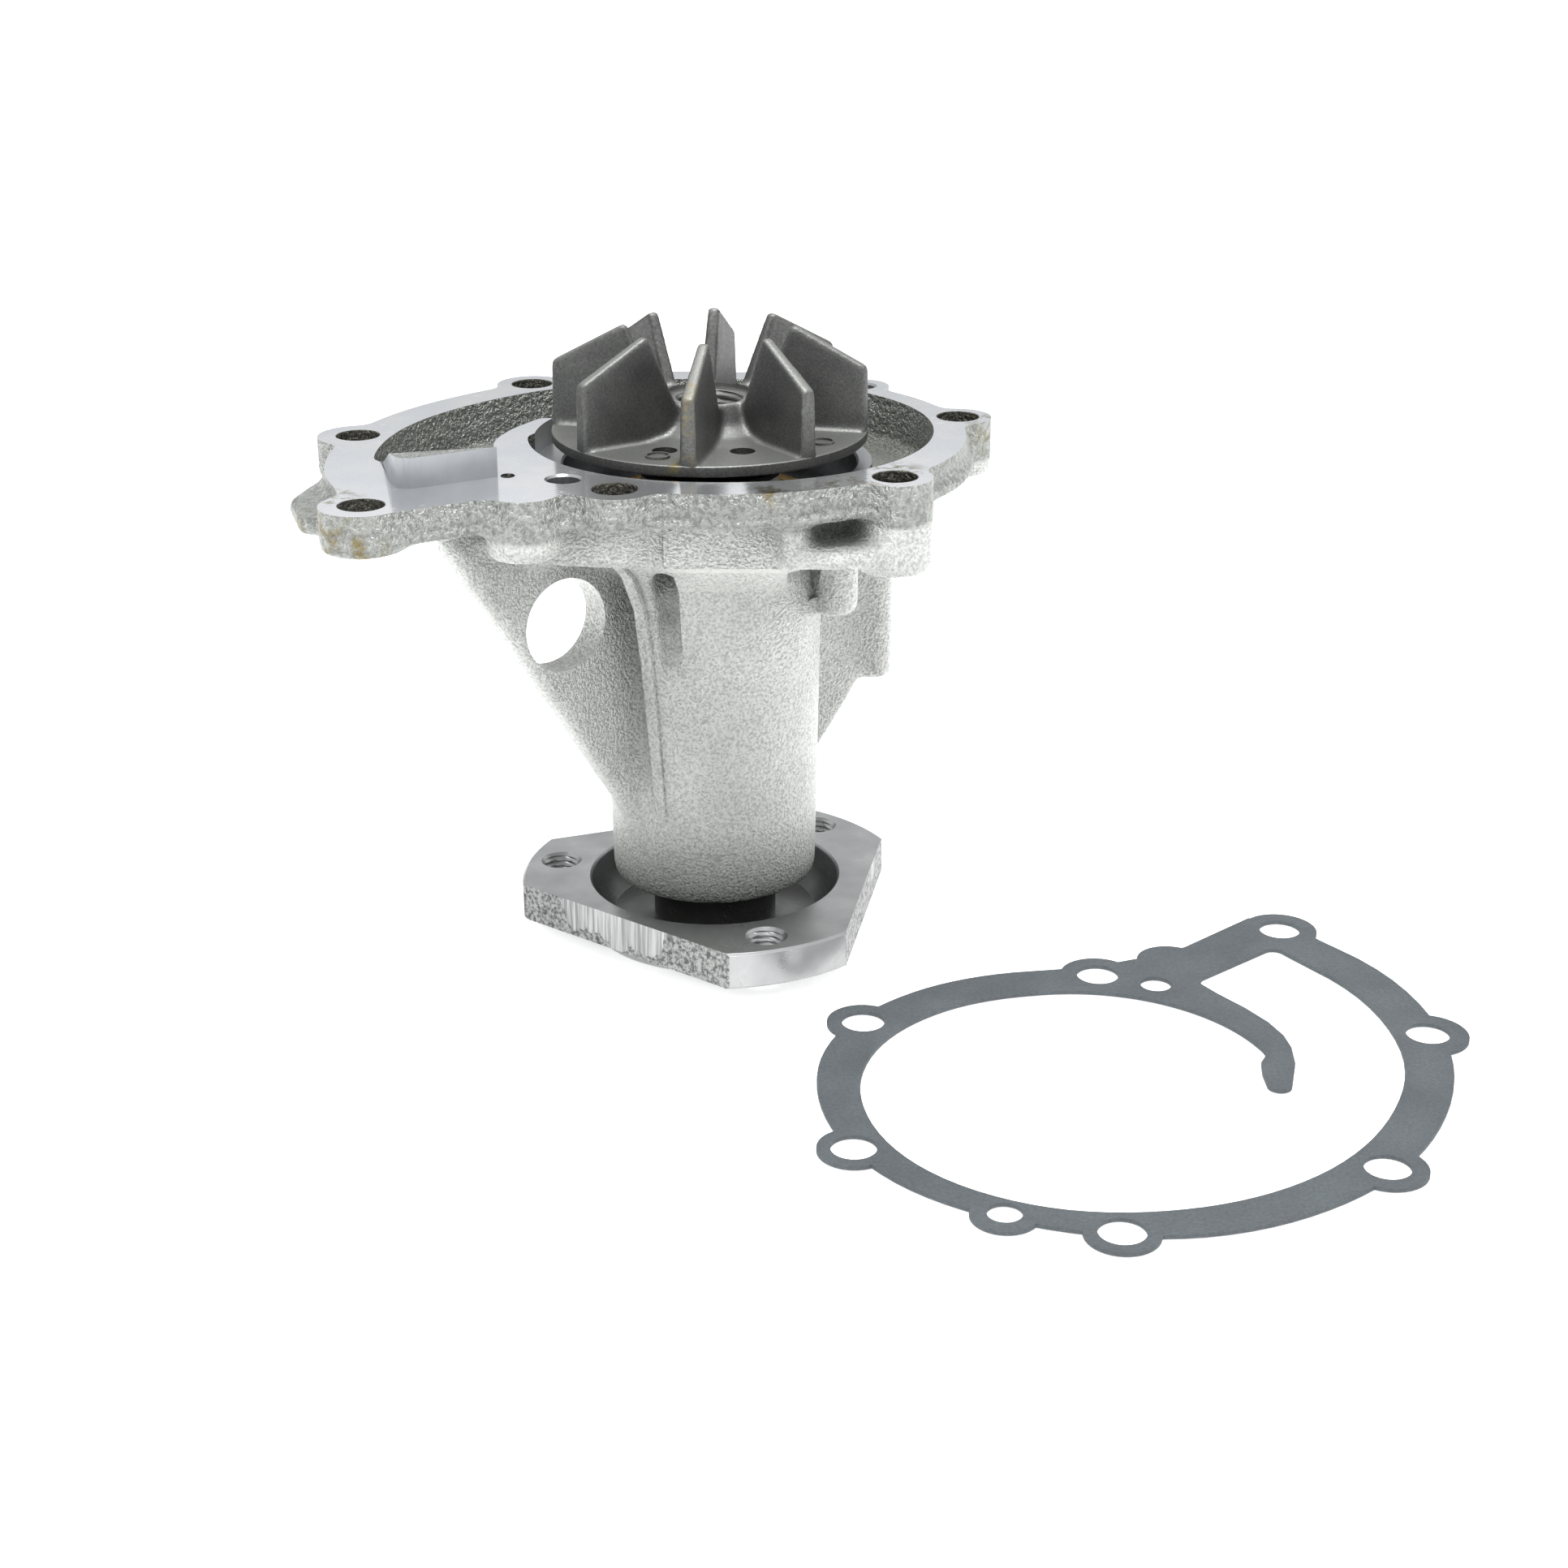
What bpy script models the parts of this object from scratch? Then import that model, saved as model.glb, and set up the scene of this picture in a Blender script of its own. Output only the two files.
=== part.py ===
"""Water pump of a car engine, standing on its pulley hub, with its flange gasket lying beside it.

Sizes are in millimetres and become metres when a mesh is made.  The origin is on the pump's axis,
at the foot of the shaft; +Z runs along the axis towards the flange that bolts to the engine.
"""
import math

import bmesh
import bpy
from mathutils import Matrix, Vector

for old in list(bpy.data.objects):
    bpy.data.objects.remove(old, do_unlink=True)

# ---------------------------------------------------------------- driving sizes
MM = 0.001
GAP = 0.3                       # between pieces that touch on the real pump
SINK = 2.0                      # how far a tool runs past the stock that it cuts

FLANGE_FACE = 107.15            # machined face that meets the engine block
RIM_DEPTH = 6.6                 # thickness of the flange plate
VOLUTE_FLOOR = 96.0
VOLUTE_UNDERSIDE = 90.5
RECESS_FLOOR = 94.0             # under the impeller
RING_TOP, RING_INNER, RING_OUTER = 102.0, 29.5, 32.5

NECK_FOOT, NECK_FOOT_R = 13.55, 21.3
NECK_HEAD, NECK_HEAD_R = 79.0, 22.6

SHAFT_R, SHAFT_TOP = 7.95, 105.0
BEARING_R, BEARING_FOOT, BEARING_HEAD = 15.0, 14.4, 70.0
RING_BORE_R = 13.2
BALL_R, PITCH_R, BALLS = 3.0, 10.8, 8
ROWS = {"front": 24.0, "rear": 60.0}

HUB_FACE, HUB_UNDERSIDE, HUB_R = 11.25, 3.4, 41.0
HUB_FLATS = {110.8: 29.4, 232.5: 30.0, 349.5: 32.5}      # each flat faces this way, this far out
SPIGOT_R, WELL_R, WELL_FLOOR_R, WELL_FLOOR = 26.6, 26.2, 21.5, 3.0
HUB_HOLE_PITCH_R, HUB_HOLE_ANGLE, HUB_HOLE_R = 33.95, 49.4, 3.6

DISC_R, DISC_UNDERSIDE, DISC_TOP = 31.5, 106.6, 108.8
VANES, VANE_THICK, VANE_ANGLE, VANE_OFFSET = 8, 3.0, -101.0, 2.7

# Volute wall and flange edge: radius about the pump's axis every 30 degrees, from straight ahead.
SCROLL = (36.5, 38.8, 42.0, 44.8, 47.3, 48.3, 48.6, 50.9, 55.5, 63.3, 69.8)
EDGE = (46.2, 48.2, 51.2, 52.5, 53.7, 54.2, 56.8, 59.6, 64.7, 73.0, 80.7)
FINGER_R = 36.4                 # inner side of the finger that parts impeller and outlet

# Bolt holes of the flange: place, radius of the lobe round it, and how low its boss reaches.
BOLTS = {
    "a": (-61.9, -52.2, 8.0, 98.6),
    "b": (-16.6, -41.1, 7.8, 100.0),
    "c": (35.8, -32.5, 7.4, 89.0),
    "d": (50.6, 14.6, 7.0, 95.5),
    "e": (13.7, 52.7, 7.0, 98.0),
    "f": (-39.7, 44.0, 7.6, 98.0),
    "g": (-70.4, -1.0, 8.2, 98.6),
}
BOLT_R = 4.3
DOWELS = {"left": (-26.6, -34.1), "right": (31.2, 42.2)}
DOWEL_R = 3.2
PLAIN_LOBE = (-33.5, -43.8, 7.0, 95.0)

WEB_ANGLE, WEB_THICK = 220.0, 6.6
GUSSET_ANGLE, GUSSET_THICK = 36.0, 6.0

GASKET_THICK = 0.8
GASKET_TURN, GASKET_PLACE = 193.845, (73.04, -72.40)


# ---------------------------------------------------------------- materials
def material(name, colour, roughness, metallic):
    mat = bpy.data.materials.new(name)
    mat.use_nodes = True
    shader = mat.node_tree.nodes["Principled BSDF"]
    shader.inputs["Base Color"].default_value = (*colour, 1.0)
    shader.inputs["Roughness"].default_value = roughness
    shader.inputs["Metallic"].default_value = metallic
    mat.diffuse_color = (*colour, 1.0)
    return mat


CAST_ALUMINIUM = material("cast_aluminium", (0.62, 0.63, 0.62), 0.55, 0.9)
CAST_IRON = material("cast_iron", (0.20, 0.20, 0.19), 0.60, 0.8)
HUB_STEEL = material("hub_steel", (0.33, 0.33, 0.34), 0.40, 1.0)
BEARING_STEEL = material("bearing_steel", (0.55, 0.56, 0.57), 0.25, 1.0)
CAGE_NYLON = material("cage_nylon", (0.62, 0.55, 0.38), 0.50, 0.0)
RUBBER = material("rubber", (0.02, 0.02, 0.02), 0.60, 0.0)
BRASS = material("brass", (0.72, 0.53, 0.25), 0.35, 1.0)
CARBON = material("carbon", (0.05, 0.05, 0.05), 0.40, 0.0)
CERAMIC = material("ceramic", (0.85, 0.84, 0.80), 0.30, 0.0)
FIBRE = material("gasket_fibre", (0.11, 0.13, 0.14), 0.80, 0.0)


# ---------------------------------------------------------------- making and joining solids
def finish(name, mesh_maker, mat):
    """Turn a millimetre bmesh into an object in metres, smooth on its round faces."""
    bmesh.ops.recalc_face_normals(mesh_maker, faces=mesh_maker.faces)
    if mesh_maker.calc_volume(signed=True) < 0:
        bmesh.ops.reverse_faces(mesh_maker, faces=mesh_maker.faces)
    mesh_maker.transform(Matrix.Scale(MM, 4))
    mesh = bpy.data.meshes.new(name)
    mesh_maker.to_mesh(mesh)
    mesh_maker.free()
    mesh.shade_smooth()
    mesh.set_sharp_from_angle(angle=math.radians(32))
    mesh.materials.append(mat)
    thing = bpy.data.objects.new(name, mesh)
    bpy.context.scene.collection.objects.link(thing)
    return thing


def prism(outline, low, high):
    """An upright prism over a plan outline, given as (x, y) points."""
    made = bmesh.new()
    base = [made.verts.new((x, y, low)) for x, y in outline]
    bottom = made.faces.new(base)
    grown = bmesh.ops.extrude_face_region(made, geom=[bottom])
    top = [item for item in grown["geom"] if isinstance(item, bmesh.types.BMVert)]
    bmesh.ops.translate(made, verts=top, vec=(0, 0, high - low))
    return made


def rod(x, y, radius, low, high, sides=16):
    turn = 2 * math.pi / sides
    circle = [(x + radius * math.cos(i * turn), y + radius * math.sin(i * turn)) for i in range(sides)]
    return prism(circle, low, high)


def turned(profile, sides=24):
    """A solid of revolution about the pump's axis from a closed (radius, height) outline."""
    made = bmesh.new()
    rings = []
    for radius, height in profile:
        if radius < 1e-6:
            rings.append([made.verts.new((0, 0, height))] * sides)
        else:
            rings.append([
                made.verts.new((radius * math.cos(2 * math.pi * i / sides),
                                radius * math.sin(2 * math.pi * i / sides), height))
                for i in range(sides)])
    for this, following in zip(rings, rings[1:] + rings[:1]):
        for i in range(sides):
            j = (i + 1) % sides
            corners = list(dict.fromkeys((this[i], this[j], following[j], following[i])))
            if len(corners) > 2:
                made.faces.new(corners)
    return made


def plate_on_ray(profile, angle, thick, offset=0.0):
    """A flat plate that stands on a ray from the axis: its outline is (distance, height)."""
    made = prism(profile, -thick / 2, thick / 2)
    upright = Matrix.Rotation(math.radians(90), 4, "X")
    aside = Matrix.Translation((0, offset, 0))
    made.transform(Matrix.Rotation(math.radians(angle), 4, "Z") @ aside @ upright)
    return made


def tapered(low_outline, high_outline, low, high):
    """A solid between two plan outlines with the same number of points."""
    made = bmesh.new()
    foot = [made.verts.new((x, y, low)) for x, y in low_outline]
    head = [made.verts.new((x, y, high)) for x, y in high_outline]
    made.faces.new(foot)
    made.faces.new(head)
    for i in range(len(foot)):
        j = (i + 1) % len(foot)
        made.faces.new((foot[i], foot[j], head[j], head[i]))
    bmesh.ops.triangulate(made, faces=made.faces)
    return made


def hull(points):
    made = bmesh.new()
    for point in points:
        made.verts.new(point)
    bmesh.ops.convex_hull(made, input=made.verts)
    loose = [vert for vert in made.verts if not vert.link_faces]
    bmesh.ops.delete(made, geom=loose, context="VERTS")
    return made


def volume(mesh):
    measured = bmesh.new()
    measured.from_mesh(mesh)
    size = measured.calc_volume()
    measured.free()
    return size


def combine(thing, tools, operation):
    """Join solids to a thing, or cut them out of it, one after another."""
    for number, tool_mesh in enumerate(tools):
        tool = finish("tool", tool_mesh, thing.data.materials[0])
        step = thing.modifiers.new(operation.lower(), "BOOLEAN")
        step.operation = operation
        step.solver = "EXACT"
        step.object = tool
        done = bpy.data.meshes.new_from_object(
            thing.evaluated_get(bpy.context.evaluated_depsgraph_get()))
        thing.modifiers.clear()
        if abs(volume(done) - volume(thing.data)) < 1e-12:
            raise RuntimeError(f"{thing.name}: {operation} {number} changed nothing")
        old, thing.data = thing.data, done
        bpy.data.meshes.remove(old)
        bpy.data.objects.remove(tool, do_unlink=True)
    return thing


def tidy(thing):
    """Merge the slivers that cuts leave and set the shading again."""
    made = bmesh.new()
    made.from_mesh(thing.data)
    bmesh.ops.remove_doubles(made, verts=made.verts, dist=0.00001)
    bmesh.ops.dissolve_degenerate(made, edges=made.edges, dist=0.00001)
    made.to_mesh(thing.data)
    made.free()
    thing.data.shade_smooth()
    thing.data.set_sharp_from_angle(angle=math.radians(32))
    return thing


# ---------------------------------------------------------------- plan outlines
def polar(radius, angle):
    return (radius * math.cos(math.radians(angle)), radius * math.sin(math.radians(angle)))


def scroll(radii, angle):
    """Smooth radius at an angle, from a list with one radius every 30 degrees from -90."""
    place = min(max((angle + 90) / 30, 0), len(radii) - 1 - 1e-9)
    i = int(place)
    t = place - i
    before = radii[max(i - 1, 0)]
    here, after = radii[i], radii[i + 1]
    beyond = radii[min(i + 2, len(radii) - 1)]
    return 0.5 * (2 * here + (after - before) * t + (2 * before - 5 * here + 4 * after - beyond) * t**2
                  + (3 * here - before - 3 * after + beyond) * t**3)


def scroll_points(radii, start, end, grow=0.0, step=10):
    count = round((end - start) / step)
    angles = [start + i * (end - start) / count for i in range(count + 1)]
    return [polar(scroll(radii, a) + grow, a) for a in angles]


def arc(x, y, radius, start, end, count):
    angles = [start + i * (end - start) / count for i in range(count + 1)]
    return [(x + polar(radius, a)[0], y + polar(radius, a)[1]) for a in angles]


def flange_outline():
    """The flange's edge without its bolt lobes, once round from straight ahead."""
    left = [(-66.0, -50.0), (-57.8, -59.2), (-39.0, -49.0), (-30.0, -46.5), (-22.0, -45.5), (-10.0, -45.3)]
    return scroll_points(EDGE, -90, 210) + left


def volute_outline():
    """The chamber's edge: scroll wall, outlet corner, and the finger back to the impeller's ring."""
    corner = [(-58.6, -40.6)] + arc(-56.0, -41.6, 2.2, 200, 295, 3)
    finger = [(-37.0, -34.5), (-35.4, -32.6), (-37.2, -27.0), (-40.0, -20.0), (-42.0, -13.0),
              (-42.6, -7.0), (-42.0, -2.0), (-40.0, 4.2)]
    tip = arc(-33.7, 11.0, 2.4, 150, 0, 4)
    notch = [(-32.4, 6.0), (-33.8, 2.2), (-36.2, -0.6)]
    ring = [polar(FINGER_R, a) for a in range(184, 266, 9)]
    return scroll_points(SCROLL, -90, 205) + corner + finger + tip + notch + ring


# ---------------------------------------------------------------- housing
def lobes(low=None, high=FLANGE_FACE + SINK, trim=0.0):
    """The round lobes of the flange's edge, as rods."""
    for x, y, radius, boss_foot in [*BOLTS.values(), PLAIN_LOBE]:
        yield rod(x, y, radius - trim, boss_foot if low is None else low, high)
    x, y = DOWELS["right"]
    yield rod(x, y, 6.4 - trim, FLANGE_FACE - RIM_DEPTH if low is None else low, high)


def neck():
    """The tube round the bearing, flaring out under the volute."""
    return turned([(0, NECK_FOOT), (NECK_FOOT_R - 0.8, NECK_FOOT), (NECK_FOOT_R, NECK_FOOT + 0.8),
                   (NECK_HEAD_R, NECK_HEAD), (24.6, NECK_HEAD + 3), (30.0, NECK_HEAD + 7.5),
                   (36.0, VOLUTE_UNDERSIDE + 0.4), (36.0, VOLUTE_FLOOR - 1), (0, VOLUTE_FLOOR - 1)],
                  sides=40)


def volute_body():
    """The chamber's outer wall under the flange, drawn in towards its underside."""
    corner = [(-63.0, -14.0), (-44.0, -30.0), (-28.0, -37.0), (-14.0, -39.0)]
    wide = scroll_points(SCROLL, -90, 180, grow=4.0)
    narrow = scroll_points(SCROLL, -90, 180, grow=1.0)
    low = [(x, max(y, -39.6)) for x, y in narrow] + [(-56.0, -12.0), (-42.0, -26.0), *corner[2:]]
    return tapered(low, wide + corner, VOLUTE_UNDERSIDE, FLANGE_FACE - RIM_DEPTH + 1)


def webs():
    """The pierced web to the left, the gusset to the right and the rib on the neck's front."""
    yield plate_on_ray([(12, 26), (20.8, 26), (25.0, 34), (65.5, 97), (65.5, 103), (12, 103)],
                       WEB_ANGLE, WEB_THICK)
    yield plate_on_ray([(12, 26), (20.8, 28), (36.2, 47.0), (38.0, 50.5), (38.0, 98), (12, 98)],
                       GUSSET_ANGLE, GUSSET_THICK)
    yield plate_on_ray([(12, 30), (21.2, 30), (24.2, 72), (26.5, 82), (38.0, 93), (12, 93)], 244.0, 4.4)


def ledge():
    """The thick lip under the flange at the right front."""
    outline = [(8.0, -34.0), (25.2, -38.6), (31.0, -39.8), (42.8, -36.0), (43.4, -27.0), (47.5, -18.0),
               (30.0, -8.0), (8.0, -20.0)]
    return prism(outline, 88.2, 92.2)


def outlet_ramp():
    """The cast ramp that turns the flow up through the outlet, and its wall above the face."""
    floor = FLANGE_FACE - RIM_DEPTH
    wall = [(-38.7, -32.8), (-54.0, -41.4), (-57.2, -40.6), (-58.9, -37.6)]
    top = FLANGE_FACE + 5.8
    foot = [(-62.8, -9.0), (-43.4, -6.0)]
    return hull([(x, y, z) for x, y in wall for z in (floor, top)]
                + [(-62.6, -21.0, floor), (-62.6, -21.0, FLANGE_FACE - 0.5)]
                + [(-41.8, -21.0, floor), (-41.8, -21.0, FLANGE_FACE - 0.5)]
                + [(x, y, z) for x, y in foot for z in (VOLUTE_FLOOR - 2, VOLUTE_FLOOR + 0.8)])


def bore():
    """Everything that is turned out of the housing along its axis."""
    return turned([(0, NECK_FOOT - SINK), (BEARING_R + GAP, NECK_FOOT - SINK),
                   (BEARING_R + GAP, BEARING_HEAD + GAP), (13.6, BEARING_HEAD + GAP), (13.6, 72.5),
                   (15.6, 73.5), (15.6, 79.5), (13.6, 81.0), (13.6, 83.0), (18.6, 83.0),
                   (18.6, RECESS_FLOOR), (RING_INNER, RECESS_FLOOR), (RING_INNER, FLANGE_FACE + SINK),
                   (0, FLANGE_FACE + SINK)], sides=36)


def housing():
    stock = finish("housing", prism(flange_outline(), FLANGE_FACE - RIM_DEPTH, FLANGE_FACE + SINK),
                   CAST_ALUMINIUM)
    combine(stock, [rod(x, y, 5.6, FLANGE_FACE - RIM_DEPTH - 0.7, FLANGE_FACE - 1, 16)
                    for x, y in DOWELS.values()], "UNION")
    combine(stock, lobes(), "UNION")
    combine(stock, [volute_body(), neck()], "UNION")
    combine(stock, webs(), "UNION")
    rough_tab = prism([(-66.0, -18.0), (-76.5, -24.0), (-78.6, -34.0), (-74.5, -47.0), (-64.0, -50.0)],
                      99.6, 103.6)
    columns = [rod(25.2, -10.0, 4.5, 73.0, 92.0, 16), rod(33.8, 24.6, 4.3, 47.5, 92.0, 16)]
    combine(stock, [ledge(), rough_tab, *columns], "UNION")
    engine_side = [rod(0, 0, 110, FLANGE_FACE, FLANGE_FACE + 3 * SINK, 16)]
    combine(stock, engine_side, "DIFFERENCE")
    combine(stock, [prism(volute_outline(), VOLUTE_FLOOR, FLANGE_FACE + SINK)], "DIFFERENCE")
    combine(stock, [rod(0, 0, RING_OUTER, VOLUTE_FLOOR - 1, RING_TOP, 36), outlet_ramp()], "UNION")
    combine(stock, [bore()], "DIFFERENCE")
    holes = [rod(x, y, BOLT_R, 80, FLANGE_FACE + SINK) for x, y, _, _ in BOLTS.values()]
    x, y = DOWELS["left"]
    holes.append(rod(x, y, DOWEL_R, FLANGE_FACE - 8, FLANGE_FACE + SINK, 12))
    x, y = DOWELS["right"]
    holes.append(rod(x, y, DOWEL_R, 80, FLANGE_FACE + SINK, 12))
    combine(stock, holes, "DIFFERENCE")
    window = rod(0, 0, 9.4, -12, 12, 24)
    window.transform(Matrix.Rotation(math.radians(WEB_ANGLE), 4, "Z") @ Matrix.Translation((38.8, 0, 76.0))
                     @ Matrix.Rotation(math.radians(90), 4, "X"))
    weep = rod(0, 0, 2.5, 12, 30, 12)
    weep.transform(Matrix.Rotation(math.radians(120), 4, "Z") @ Matrix.Translation((0, 0, 76.5))
                   @ Matrix.Rotation(math.radians(90), 4, "Y"))
    return tidy(combine(stock, [window, weep], "DIFFERENCE"))


# ---------------------------------------------------------------- rotor
def groove(row_height, surface_r, side):
    """Half-round ball track in a turned profile, from low to high."""
    reach = BALL_R + GAP
    half = math.acos(abs(surface_r - PITCH_R) / reach)
    turns = [half * i / 2 for i in range(-2, 3)]
    return [(PITCH_R + side * reach * math.cos(a), row_height + reach * math.sin(a)) for a in turns]


def shaft():
    track = [point for height in ROWS.values() for point in groove(height, SHAFT_R, -1)]
    profile = [(0, 0), (SHAFT_R - 0.8, 0), (SHAFT_R, 0.8), *track,
               (SHAFT_R, SHAFT_TOP - 0.8), (SHAFT_R - 0.8, SHAFT_TOP), (0, SHAFT_TOP)]
    return finish("shaft", turned(profile), BEARING_STEEL)


def impeller():
    boss = [(SHAFT_R + GAP, 101.0), (11.5, 101.0), (11.5, DISC_UNDERSIDE), (DISC_R - 0.5, DISC_UNDERSIDE),
            (DISC_R, DISC_UNDERSIDE + 0.5), (DISC_R, DISC_TOP), (19.0, DISC_TOP), (13.0, 109.6),
            (10.2, 111.6), (8.7, 114.7), (6.75, 114.7), (6.75, SHAFT_TOP + GAP),
            (SHAFT_R + GAP, SHAFT_TOP + GAP)]
    wheel = finish("impeller", turned(boss, 36), CAST_IRON)
    vane = [(8.4, DISC_TOP - 0.6), (8.4, 113.6), (9.9, 114.6), (15.6, 128.5), (16.4, 129.0),
            (31.0, 121.2), (31.2, 120.4), (31.2, DISC_TOP - 0.6)]
    vanes = [plate_on_ray(vane, VANE_ANGLE + i * 360 / VANES, VANE_THICK, VANE_OFFSET)
             for i in range(VANES)]
    combine(wheel, vanes, "UNION")
    holes = [rod(*polar(21.0, a), 2.5, DISC_UNDERSIDE - SINK, DISC_TOP + SINK, 10)
             for a in (-113, -71, 67, 109)]
    return tidy(combine(wheel, holes, "DIFFERENCE"))


def hub():
    """The drive flange: a round with three flats, a well, a spigot and a boss on the shaft."""
    profile = [(SHAFT_R + GAP, 0), (SPIGOT_R - 0.5, 0), (SPIGOT_R, 0.5), (SPIGOT_R, HUB_UNDERSIDE),
               (HUB_R, HUB_UNDERSIDE), (HUB_R, HUB_FACE), (WELL_R, HUB_FACE), (WELL_R - 1.2, 7.0),
               (WELL_FLOOR_R, WELL_FLOOR), (13.0, WELL_FLOOR), (13.0, 12.8), (SHAFT_R + GAP, 12.8)]
    disc = finish("pulley_hub", turned(profile, 48), HUB_STEEL)
    angles = [HUB_HOLE_ANGLE + i * 120 for i in range(3)]
    outside = [plate_on_ray([(flat, -SINK), (60, -SINK), (60, 20), (flat, 20)], facing, 90)
               for facing, flat in HUB_FLATS.items()]
    holes = [rod(*polar(HUB_HOLE_PITCH_R, a), HUB_HOLE_R, HUB_UNDERSIDE - SINK, HUB_FACE + SINK)
             for a in angles]
    return tidy(combine(disc, outside + holes, "DIFFERENCE"))


# ---------------------------------------------------------------- bearing
def bearing():
    top, foot = BEARING_HEAD, BEARING_FOOT
    tracks = [point for height in sorted(ROWS.values(), reverse=True)
              for point in reversed(groove(height, RING_BORE_R, 1))]
    ring = [(RING_BORE_R, foot), (BEARING_R - 0.5, foot), (BEARING_R, foot + 0.5), (BEARING_R, top - 0.5),
            (BEARING_R - 0.5, top), (RING_BORE_R, top), *tracks]
    finish("bearing_outer_ring", turned(ring), BEARING_STEEL)
    inner, outer = SHAFT_R + GAP, RING_BORE_R - GAP
    for name, low in (("front", foot + 0.8), ("rear", top - 2.0)):
        seal = [(inner, low), (outer, low), (outer, low + 1.2), (inner, low + 1.2)]
        finish("bearing_seal_" + name, turned(seal), RUBBER)
    for name, height in ROWS.items():
        ball_row(name, height, 1 if name == "front" else -1)


def ball_row(name, height, side):
    """A crown cage, open towards the nearer end of the bearing, and its balls."""
    lip, back = height - side * 1.4, height + side * 4.8
    low, high = min(lip, back), max(lip, back)
    cage = finish("cage_" + name, turned([(9.6, low), (12.0, low), (12.0, high), (9.6, high)]),
                  CAGE_NYLON)
    turn = 360 / BALLS
    pockets = []
    for i in range(BALLS):
        pocket = rod(0, 0, BALL_R + GAP, 7, 15, 10)
        pocket.transform(Matrix.Rotation(math.radians(i * turn), 4, "Z")
                         @ Matrix.Translation((0, 0, height)) @ Matrix.Rotation(math.radians(90), 4, "Y")
                         @ Matrix.Rotation(math.pi / 10, 4, "Z"))
        pockets.append(pocket)
    tidy(combine(cage, pockets, "DIFFERENCE"))
    for i in range(BALLS):
        ball = bmesh.new()
        bmesh.ops.create_icosphere(ball, subdivisions=2, radius=BALL_R)
        ball.transform(Matrix.Translation((*polar(PITCH_R, i * turn), height)))
        finish(f"ball_{name}_{i + 1}", ball, BEARING_STEEL)


# ---------------------------------------------------------------- shaft seal
def shaft_seal():
    cup = [(9.3, 83.3), (18.3, 83.3), (18.3, 94.3), (20.4, 94.3), (20.4, 95.1), (17.5, 95.1),
           (17.5, 84.2), (9.3, 84.2)]
    finish("seal_cup", turned(cup), BRASS)
    folds = [(12.6 - 1.5 * (i % 2), 84.5 + i * 1.65) for i in range(5)]
    inside = [(radius - 0.9, height) for radius, height in reversed(folds)]
    finish("seal_bellows", turned(folds + inside), RUBBER)
    nose = [(9.6, 91.5), (16.9, 91.5), (16.9, 92.6), (13.2, 92.6), (13.2, 95.7), (9.6, 95.7)]
    finish("seal_carbon_ring", turned(nose), CARBON)
    seat = [(9.8, 96.0), (14.0, 96.0), (14.0, 99.4), (9.8, 99.4)]
    finish("seal_ceramic_ring", turned(seat), CERAMIC)
    inner = SHAFT_R + GAP
    boot = [(inner, 96.3), (9.5, 96.3), (9.5, 99.7), (14.3, 99.7), (14.3, 100.7), (inner, 100.7)]
    finish("seal_boot", turned(boot), RUBBER)
    slinger = [(inner, 74.0), (12.6, 74.0), (13.4, 75.6), (12.6, 75.6), (12.0, 75.0), (9.2, 75.0),
               (9.2, 77.6), (inner, 77.6)]
    finish("slinger", turned(slinger), RUBBER)
    seal_spring()


def seal_spring(coil_r=15.1, wire_r=0.75, turns=3.25, foot=85.3, head=90.4):
    """The helical spring that presses the carbon ring up against the ceramic one."""
    path_steps, wire_sides = round(turns * 14), 5
    coil = bmesh.new()
    rings = []
    for i in range(path_steps + 1):
        angle = 2 * math.pi * turns * i / path_steps
        out = Vector((math.cos(angle), math.sin(angle), 0))
        centre = out * coil_r + Vector((0, 0, foot + (head - foot) * i / path_steps))
        section = [2 * math.pi * k / wire_sides for k in range(wire_sides)]
        rings.append([coil.verts.new(centre + (out * math.cos(s) + Vector((0, 0, math.sin(s)))) * wire_r)
                      for s in section])
    for this, following in zip(rings, rings[1:]):
        for k in range(wire_sides):
            j = (k + 1) % wire_sides
            coil.faces.new((this[k], this[j], following[j], following[k]))
    coil.faces.new(rings[0])
    coil.faces.new(rings[-1])
    finish("seal_spring", coil, BEARING_STEEL)


# ---------------------------------------------------------------- gasket
def gasket():
    """The flange's gasket, made flat, then turned to where it lies on the ground."""
    tall = 2 * SINK
    sheet = finish("gasket", prism(flange_outline(), 0, tall), FIBRE)
    combine(sheet, lobes(low=0, high=tall, trim=0.2), "UNION")
    combine(sheet, [prism(volute_outline(), -SINK, tall + SINK)], "DIFFERENCE")
    holes = [rod(x, y, BOLT_R, -SINK, tall + SINK) for x, y, _, _ in BOLTS.values()]
    holes += [rod(x, y, DOWEL_R, -SINK, tall + SINK, 12) for x, y in DOWELS.values()]
    combine(sheet, holes, "DIFFERENCE")
    tidy(combine(sheet, [rod(0, 0, 120, GASKET_THICK, tall + SINK, 16)], "DIFFERENCE"))
    place = Matrix.Translation(Vector((*GASKET_PLACE, 0)) * MM)
    sheet.data.transform(place @ Matrix.Rotation(math.radians(GASKET_TURN), 4, "Z"))
    return sheet


housing()
shaft()
impeller()
hub()
bearing()
shaft_seal()
gasket()
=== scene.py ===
# %% [markdown]
# # The water pump of a car engine, and its flange gasket
#
# The pump is a light-alloy casting that carries a shaft in a ball bearing.  A steel drive flange is
# pressed on the foot of the shaft and an iron impeller on its head, inside a volute that the engine
# block closes.  It stands here on the drive flange, and its paper gasket lies beside it.
#
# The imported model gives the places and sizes.  This lesson makes the visible pieces again with cast
# edges, threads and tool marks, and gives every piece the finish that its real material has.

# %% Load the frame
import math

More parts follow.
